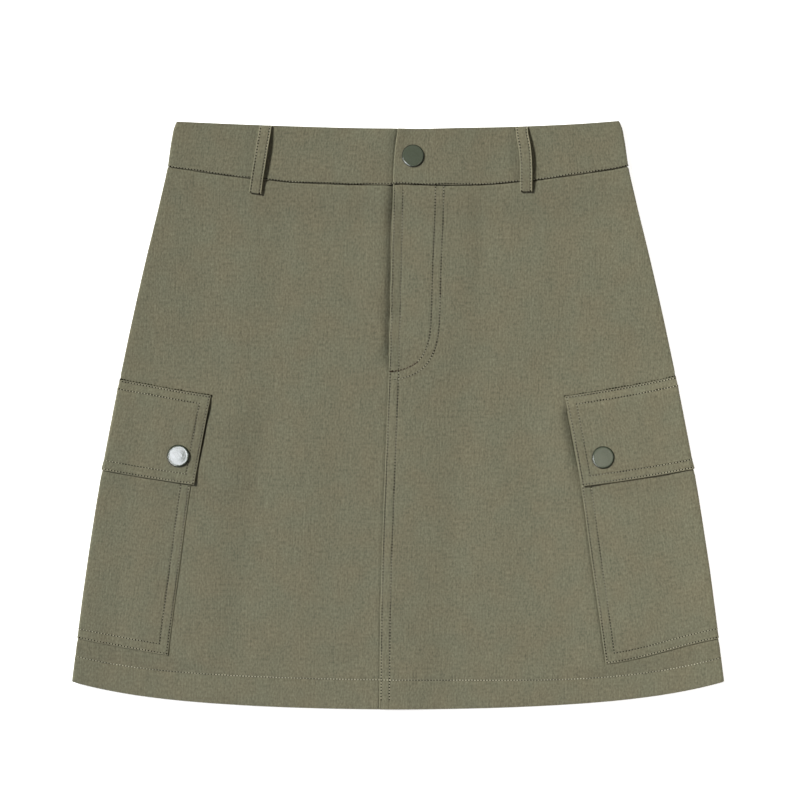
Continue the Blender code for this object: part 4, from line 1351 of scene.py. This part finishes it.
def stitch_arrays(path, normals, weight, pitch, width, look, seed):
    """One row of stitches along a path. The path is cut into steps of a stitch length, and each stitch is an
    oval tube over most of its step: its middle line rises from one needle hole, runs along the cloth and
    dives into the next, higher on a slack stretch than on a tight one. An oval dark plug, painted shade of
    the pit, fills each needle hole, and weight is the size of the plugs as a share. Under the skirt the
    thread is pressed into the cloth. Returns vertices, thread coordinates, quads and caps, and then for the
    quads and for the caps whether each belongs to a shade plug."""
    along = lengths(path[None], 1)[0]
    heading = unit(np.gradient(path, along, axis=0))
    count = max(1, int(round(along[-1] / pitch)))
    step = along[-1] / count
    gap = 0.02 * step
    draw = np.random.default_rng(seed)

    def read(at):
        """The path, its normals, its headings and the way to its side, at distances along it."""
        tables = path, normals, heading
        middle, up, ahead = (np.stack([np.interp(at, along, v) for v in table.T], 1) for table in tables)
        return middle, up, ahead, np.cross(ahead, up)

    at = np.arange(count)[:, None] * step + gap + STITCH_RINGS * (step - 2 * gap)
    middle, up, ahead, side = read(at.ravel())
    rise = np.array([-DIVE, 0.10, look.rise, 0.10, -DIVE]) * width
    slack = 0.12 * width * waves(seed, np.arange(count) * step, (0.083, 0.041, 0.019))
    lift = np.tile(rise, count) + np.repeat(slack, 5) - 0.55 * width * np.clip(-up[:, 2], 0, 1)
    start, end = draw.normal(0, STRAY, (count, 2)).T[..., None]
    slip = (start + STITCH_RINGS * (end - start)).ravel()
    middle = middle + up * lift[:, None] + side * slip[:, None]
    radius = (np.tile(RING_SIZES, count) * width / 2)[:, None, None]
    cosine, sine = np.cos(SIXTHS)[:, None], np.sin(SIXTHS)[:, None]
    ring = middle[:, None] + radius * (side[:, None] * cosine + 0.85 * up[:, None] * sine)
    turn = np.tile(SIXTHS / (2 * pi), len(middle))
    thread = np.stack([turn, np.tile(np.repeat(STITCH_RINGS, 6), count)], axis=1)

    at = np.arange(count + 1) * step
    middle, up, ahead, side = read(at)
    size = look.needle * weight * (0.88 + 0.42 * waves(seed + 7, at, (0.053, 0.024, 0.011)))
    size = (size * draw.uniform(0.80, 1.15, count + 1))[:, None, None]
    # painted shade: a dark oval plug in each needle hole stands in for the shade of its pit
    hole = size * (HOLE_LENGTH * ahead[:, None] * sine + HOLE_WIDTH * side[:, None] * cosine)
    plug = np.stack([middle[:, None] + hole + up[:, None] * height for height in PLUG_HEIGHTS], axis=1)
    vertices = np.concatenate([ring.reshape(-1, 3), plug.reshape(-1, 3)])
    thread = np.concatenate([thread, np.zeros((len(plug) * 12, 2))])
    pairs = list(zip(tube_faces(count, 5, 0), tube_faces(count + 1, 2, count * 30)))
    kinds = [np.repeat((0, 1), [len(faces) for faces in pair]) for pair in pairs]
    return vertices, thread, *(np.concatenate(pair) for pair in pairs), *kinds


def add_stitches(name, rows, kind="row"):
    """Joins rows of stitches, each a path, its normals and the weight of its holes, into one piece."""
    sewing = bpy.context.scene.skirt_sewing
    look = ROWS[kind]
    pitch, width = sewing.pitch * look.pitch, sewing.width * look.width
    parts = [stitch_arrays(*row, pitch, width, look, 100 + k) for k, row in enumerate(rows)]
    vertices, thread, quads, caps, quad_kinds, cap_kinds = zip(*parts)
    starts = np.cumsum([0] + [len(part) for part in vertices])
    quads = np.concatenate([part + start for part, start in zip(quads, starts)])
    caps = np.concatenate([part + start for part, start in zip(caps, starts)])
    faces = quads.tolist() + caps.tolist()
    tone = sewing.tack if kind == "tack" else sewing.thread
    materials = shared(kind + " thread", thread_material, tone, look), shared("needle hole", hole_shade_material)
    mesh = new_mesh(name, np.concatenate(vertices), faces, materials, np.concatenate(quad_kinds + cap_kinds))
    set_uv(mesh, "thread", np.concatenate(thread))
    add_piece(name, mesh)


def row_at(grid, distance, from_last=False):
    """Number of the grid's row at a distance down from its first edge, or up from its last."""
    down = lengths(grid.points, 0)
    middle = down[:, down.shape[1] // 2]
    return int(np.argmin(np.abs((middle[-1] - middle if from_last else middle) - distance)))


def column_at(grid, distance, from_last=False):
    """Number of the grid's column at a distance in from its first or last edge."""
    return row_at(Grid(grid.points.swapaxes(0, 1), None, None), distance, from_last)


def grid_line(grid, rows, columns):
    """A path along a grid, with its normals."""
    return grid.points[rows, columns], normals_of(grid.points)[rows, columns]


def weighted(paths, *weights):
    """Paths, each with the weight of its needle holes; the last weight given serves the rest."""
    return [(*path, weights[min(k, len(weights) - 1)]) for k, path in enumerate(paths)]


def round_edge(grid, distance, top):
    """Paths of one row of stitches at a distance from a grid's edges: both sides, the end, and the top
    if asked."""
    first, last = column_at(grid, distance), column_at(grid, distance, True)
    start, end = row_at(grid, distance) if top else 0, row_at(grid, distance, True)
    sides = [grid_line(grid, slice(start, end + 1), column) for column in (first, last)]
    return sides + [grid_line(grid, row, slice(first, last + 1)) for row in ((end, start) if top else (end,))]


def hem_line(grid):
    """The row of a panel's grid along which its hem is stitched, on the outside of the turn."""
    middle = grid.points[:, grid.points.shape[1] // 2]
    half = len(middle) // 2
    lowest = int(np.argmin(middle[half:, 1]))
    return half + int(np.argmin(np.abs(below_hem_row(middle[half : half + lowest + 1]))))


def front_path(x, drop):
    """A path over the left front at places given by x and drop, with normals from its slopes."""
    step = 0.0006
    right = front_spot(x + step, drop) - front_spot(x - step, drop)
    down = front_spot(x, drop + step) - front_spot(x, drop - step)
    return front_spot(x, drop) - [0, 0, 0.00010], unit(np.cross(down, right))


def sew_fly():
    """The fly's two curved rows, the two rows beside the fly's edge and the centre seam, and the bar
    tack at the foot of the fly."""
    grid = SHEETS["cloth_front_left"]
    hem = hem_line(grid)
    foot = int(np.argmin(np.abs(TOP - grid.points[:hem, 0, 1] - FLY_END)))
    columns = [column_at(grid, place) for place in (EDGE_ROW, SECOND_ROW)]
    parts = slice(foot, hem + HEM_ROWS_SEWN), slice(FLY_TOP_ROW, foot)
    rows = [grid_line(grid, part, column) for part in parts for column in columns]
    line = smooth_line(FLY_CURVE, 0.0006)
    ahead = unit(np.gradient(line, axis=0))
    outward = np.stack([ahead[:, 1], -ahead[:, 0]], axis=1)
    rows.append(front_path(*line[2:-4].T))
    rows.append(front_path(*(line + FLY_ROWS_APART * outward)[2:-6].T))
    tack = front_path(*line[(line[:, 0] < TACK_END) & (line[:, 1] > 0.15)].T)
    add_stitches("sewing_tack", weighted([tack], 1.0), "tack")
    add_stitches("sewing_fly", weighted(rows, 1.50, 1.40, 0.62, 0.84, 1.25))


def sew_hem():
    """The hem's single row, across both fronts and the back."""
    grids = [SHEETS["cloth_" + name] for name in ("front_left", "front_right", "back")]
    rows = [grid_line(grid, hem_line(grid), slice(1, -1)) for grid in grids]
    add_stitches("sewing_hem", weighted(rows, 1.0), "hem")


def sew_waist():
    """The row in the ditch between the band and the panels. It drifts a little up and down."""
    grid = SHEETS["cloth_waistband"]
    path, normals = grid_line(grid, row_at(grid, 0.0002, True), slice(2, -2))
    drift = 0.00035 + 0.00060 * waves(91, lengths(path[None], 1)[0], (0.110, 0.047))
    path = path + np.array([0, 1, 0]) * drift[:, None] + normals * 0.00002
    add_stitches("sewing_waist", weighted([(path, normals)], 1.15), "ditch")


def sew_pocket(word):
    """Two rows round a pocket and two round its flap, and the seam along the flap's top, whose cloth-coloured
    thread and large dark plugs paint the shade line at that edge.
    """
    pocket, flap = SHEETS["cloth_pocket_" + word], SHEETS["cloth_flap_" + word]
    rows = []
    for place, weights in WEIGHTS.items():
        rows += weighted(round_edge(pocket, place, False), *weights[:3])
        rows += weighted(round_edge(flap, place, True), *weights)
    # painted shade: the seam row along the flap's top is mostly large dark plugs, for the shade line at its
    # edge
    path, normals = grid_line(flap, 0, slice(None))
    seam = path - [0, 0.00005, 0] - normals * 0.00022
    add_stitches("sewing_flap_" + word, weighted([(seam, normals)], 1.75), "seam")
    add_stitches("sewing_pocket_" + word, rows)


def sew_loops():
    """One row along each long edge of every belt loop, and a near-black row beside the left front one,
    painted as the shade of the gap at its top.
    """
    grids = [SHEETS[name] for name in sorted(SHEETS) if "loop" in name]
    columns = [(grid, column_at(grid, LOOP_ROW, last)) for grid in grids for last in (False, True)]
    rows = [grid_line(grid, slice(3, -3), column) for grid, column in columns]
    # painted shade: a near-black row by the left front loop's top, for the shade of the gap there
    first, last = LOOP_SHADE_ENDS[:, :, None]
    tack = front_path(*(first + np.linspace(0, 1, 12) * (last - first)))
    add_stitches("sewing_loop_shade", weighted([tack], 1.0), "shade")
    add_stitches("sewing_loops", weighted(rows, 1.80))


# ---------------------------------------------------------------- snaps


def make_snap(name):
    """A snap cap: its profile turned about its middle, leaning with the cloth that it is set in."""
    x, drop = snap_place(name)
    middle = np.array([x, TOP - drop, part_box(name)[0].z - SNAP_SINK])
    at = lengths(SNAP_PROFILE[None], 1)[0]
    s = np.unique(np.concatenate([at, np.linspace(0, at[-1], 70)]))[1:-1]
    radius, height = (np.interp(s, at, column)[:, None] for column in SNAP_PROFILE.T)
    turns = np.arange(SNAP_SIDES) / SNAP_SIDES * 2 * pi
    rings = np.stack([radius * np.cos(turns), radius * np.sin(turns), height + 0 * turns], axis=-1)
    points = np.concatenate([rings.reshape(-1, 3), [[0, 0, SNAP_PROFILE[0, 1]], [0, 0, 0]]])
    snap = SNAPS[name]
    points[:, 2] -= np.tan(radians(snap.lean_x)) * points[:, 0] + np.tan(radians(snap.lean_y)) * points[:, 1]
    index = np.arange(len(s) * SNAP_SIDES).reshape(len(s), SNAP_SIDES)
    quads = ring_quads(index)
    top = np.stack([np.full(SNAP_SIDES, index.size), index[0], np.roll(index[0], -1)], axis=-1)
    base = np.stack([np.full(SNAP_SIDES, index.size + 1), np.roll(index[-1], -1), index[-1]], axis=-1)
    # painted shade: the rim and the underside get the dark material, for the shade round a cap
    rim_shaded = (radius[:-1, 0] > SNAP_RIM) | (np.arange(len(s) - 1) > np.argmax(radius))
    kinds = np.repeat(np.concatenate([rim_shaded, [False, True]]), SNAP_SIDES)
    faces = quads.tolist() + top.tolist() + base.tolist()
    materials = shared("snap enamel", enamel_material), shared("snap edge", rim_shade_material)
    mesh = new_mesh("enamel_" + name, points + middle, faces, materials, kinds)
    add_piece("enamel_" + name, mesh, (name,))


# ---------------------------------------------------------------- stage

VIEW_CENTRE = (0.0015, 0.0121)
VIEW_WIDTH = 0.6078  # the width of the picture at the table
SENSOR = 36.0
SUN_PLACE = (-1.15, 0.72, 1.22)
SUN_SPREAD = 9  # angle in degrees over which the key light is spread
FLOOR_REACH = 3.0
FLOOR_DROP = 0.0002  # how far the floor lies below the skirt

BLUISH = (0.918, 0.944, 1.0)
WARM = (1.0, 0.95, 0.80)
ROSY = (1.0, 0.93, 0.87)
WHITE = (1.0, 1.0, 1.0)
# sees tells what a light reaches: the colour of things, or only their shine.
Softbox = namedtuple("Softbox", "name place target power size length sees colour")
SOFTBOXES = (
    Softbox("left softbox", (-0.35, -0.07, 1.45), (-0.35, -0.07, 0), 3.43, 0.24, 0.24, "shine", BLUISH),
    Softbox("right softbox", (0.255, -0.06, 1.45), (0.255, -0.06, 0), 0.38, 0.22, 0.22, "shine", WARM),
    Softbox("right fill", (1.20, -0.15, 0.55), (0.18, -0.08, 0), 5.4, 0.50, 0.50, "cloth", ROSY),
    Softbox("low left", (-1.10, -0.75, 0.80), (0, 0, 0), 36.0, 2.00, 0.40, "shine", WHITE),
)


def add_object(name, data, place):
    obj = bpy.data.objects.new(name, data)
    obj.location = place
    bpy.context.scene.collection.objects.link(obj)
    return obj


def add_light(name, kind, place, target, power, **settings):
    """A light at a place, its -Z pointed at a target, with its other settings by name."""
    light = bpy.data.lights.new(name, kind)
    light.energy = power
    for key, value in settings.items():
        setattr(light, key, value)
    obj = add_object(name, light, place)
    obj.rotation_euler = (Vector(target) - obj.location).to_track_quat("-Z", "Y").to_euler()
    return obj


def make_stage():
    """White floor, a large soft light from the upper left, light from all round, and a camera that
    looks straight down from where the view has its width."""
    stage = bpy.context.scene.skirt_stage
    corners = [(x * FLOOR_REACH, y * FLOOR_REACH, 0) for x, y in ((-1, -1), (1, -1), (1, 1), (-1, 1))]
    board = new_mesh("floor", corners, [(0, 1, 2, 3)], [floor_material("white board")])
    add_object("floor", board, (0, 0, -FLOOR_DROP))
    key = add_light("key", "SUN", SUN_PLACE, (0, 0, 0), stage.key, angle=radians(SUN_SPREAD))
    key.visible_glossy = False
    for name, place, target, power, size, width, sees, tone in SOFTBOXES:
        settings = {"shape": "RECTANGLE", "size": size, "size_y": width, "color": tone}
        box = add_light(name, "AREA", place, target, power, **settings)
        box.visible_diffuse = sees == "cloth"
        box.visible_glossy = sees == "shine"
    world = bpy.data.worlds.new("studio")
    world.use_nodes = True
    world.node_tree.nodes["Background"].inputs["Color"].default_value = (1, 1, 1, 1)
    world.node_tree.nodes["Background"].inputs["Strength"].default_value = stage.sky
    bpy.context.scene.world = world
    bpy.context.scene.view_settings.view_transform = "Standard"
    camera = bpy.data.cameras.new("camera")
    camera.lens = stage.lens
    camera.sensor_width = SENSOR
    place = (*VIEW_CENTRE, VIEW_WIDTH * stage.lens / SENSOR)
    bpy.context.scene.camera = add_object("camera", camera, place)


# ---------------------------------------------------------------- operators


class SKIRT_OT_stage(bpy.types.Operator):
    """Add the floor, the lights and the camera"""

    bl_idname = "skirt.stage"
    bl_label = "Stage"

    def execute(self, context):
        make_stage()
        return {"FINISHED"}


class SKIRT_OT_back(bpy.types.Operator):
    """Make the back panel"""

    bl_idname = "skirt.back"
    bl_label = "Back"

    def execute(self, context):
        make_back()
        return {"FINISHED"}


class SKIRT_OT_fronts(bpy.types.Operator):
    """Make the right front and the left front that laps over it"""

    bl_idname = "skirt.fronts"
    bl_label = "Fronts"

    def execute(self, context):
        make_right_front()
        make_left_front()
        return {"FINISHED"}


class SKIRT_OT_waistband(bpy.types.Operator):
    """Make the waistband"""

    bl_idname = "skirt.waistband"
    bl_label = "Waistband"

    def execute(self, context):
        make_band()
        return {"FINISHED"}


class SKIRT_OT_pockets(bpy.types.Operator):
    """Make both patch pockets and their flaps"""

    bl_idname = "skirt.pockets"
    bl_label = "Pockets"

    def execute(self, context):
        for side, word in ((1, "left"), (-1, "right")):
            make_pocket(side, word)
            make_flap(side, word)
        return {"FINISHED"}


class SKIRT_OT_belt_loops(bpy.types.Operator):
    """Make the five belt loops"""

    bl_idname = "skirt.belt_loops"
    bl_label = "Belt loops"

    def execute(self, context):
        for node, path in FRONT_LOOPS.items():
            make_front_loop(node, path)
        for word, centre in BACK_LOOP_CENTRES.items():
            make_back_loop("belt_loop_back_" + word, centre)
        return {"FINISHED"}


class SKIRT_OT_sewing(bpy.types.Operator):
    """Sew every row of topstitching"""

    bl_idname = "skirt.sewing"
    bl_label = "Sewing"

    def execute(self, context):
        sew_fly()
        sew_hem()
        sew_waist()
        sew_pocket("left")
        sew_pocket("right")
        sew_loops()
        return {"FINISHED"}


class SKIRT_OT_snaps(bpy.types.Operator):
    """Make the three snap caps"""

    bl_idname = "skirt.snaps"
    bl_label = "Snaps"

    def execute(self, context):
        for name in SNAPS:
            make_snap(name)
        return {"FINISHED"}


STEPS = (
    SKIRT_OT_stage,
    SKIRT_OT_back,
    SKIRT_OT_fronts,
    SKIRT_OT_waistband,
    SKIRT_OT_pockets,
    SKIRT_OT_belt_loops,
    SKIRT_OT_sewing,
    SKIRT_OT_snaps,
)
SETTINGS = {
    "skirt_cloth": SkirtCloth,
    "skirt_sewing": SkirtSewing,
    "skirt_snaps": SkirtSnaps,
    "skirt_stage": SkirtStage,
}


class SKIRT_PT_panel(bpy.types.Panel):
    """Lists the settings and the steps that make the skirt"""

    bl_label = "Cargo Skirt"
    bl_idname = "SKIRT_PT_panel"
    bl_space_type = "VIEW_3D"
    bl_region_type = "UI"
    bl_category = "Skirt"

    def draw(self, context):
        for name, group in SETTINGS.items():
            box = self.layout.box()
            box.label(text=group.__doc__)
            for key in group.__annotations__:
                box.prop(getattr(context.scene, name), key)
        for step in STEPS:
            self.layout.operator(step.bl_idname)


CLASSES = (*SETTINGS.values(), *STEPS, SKIRT_PT_panel)


def register():
    for cls in CLASSES:
        bpy.utils.register_class(cls)
    for name, group in SETTINGS.items():
        setattr(bpy.types.Scene, name, bpy.props.PointerProperty(type=group))


def unregister():
    for name in SETTINGS:
        delattr(bpy.types.Scene, name)
    for cls in reversed(CLASSES):
        bpy.utils.unregister_class(cls)


def main():
    register()
    for step in STEPS:
        group, name = step.bl_idname.split(".")
        getattr(getattr(bpy.ops, group), name)()


if __name__ == "__main__":
    main()
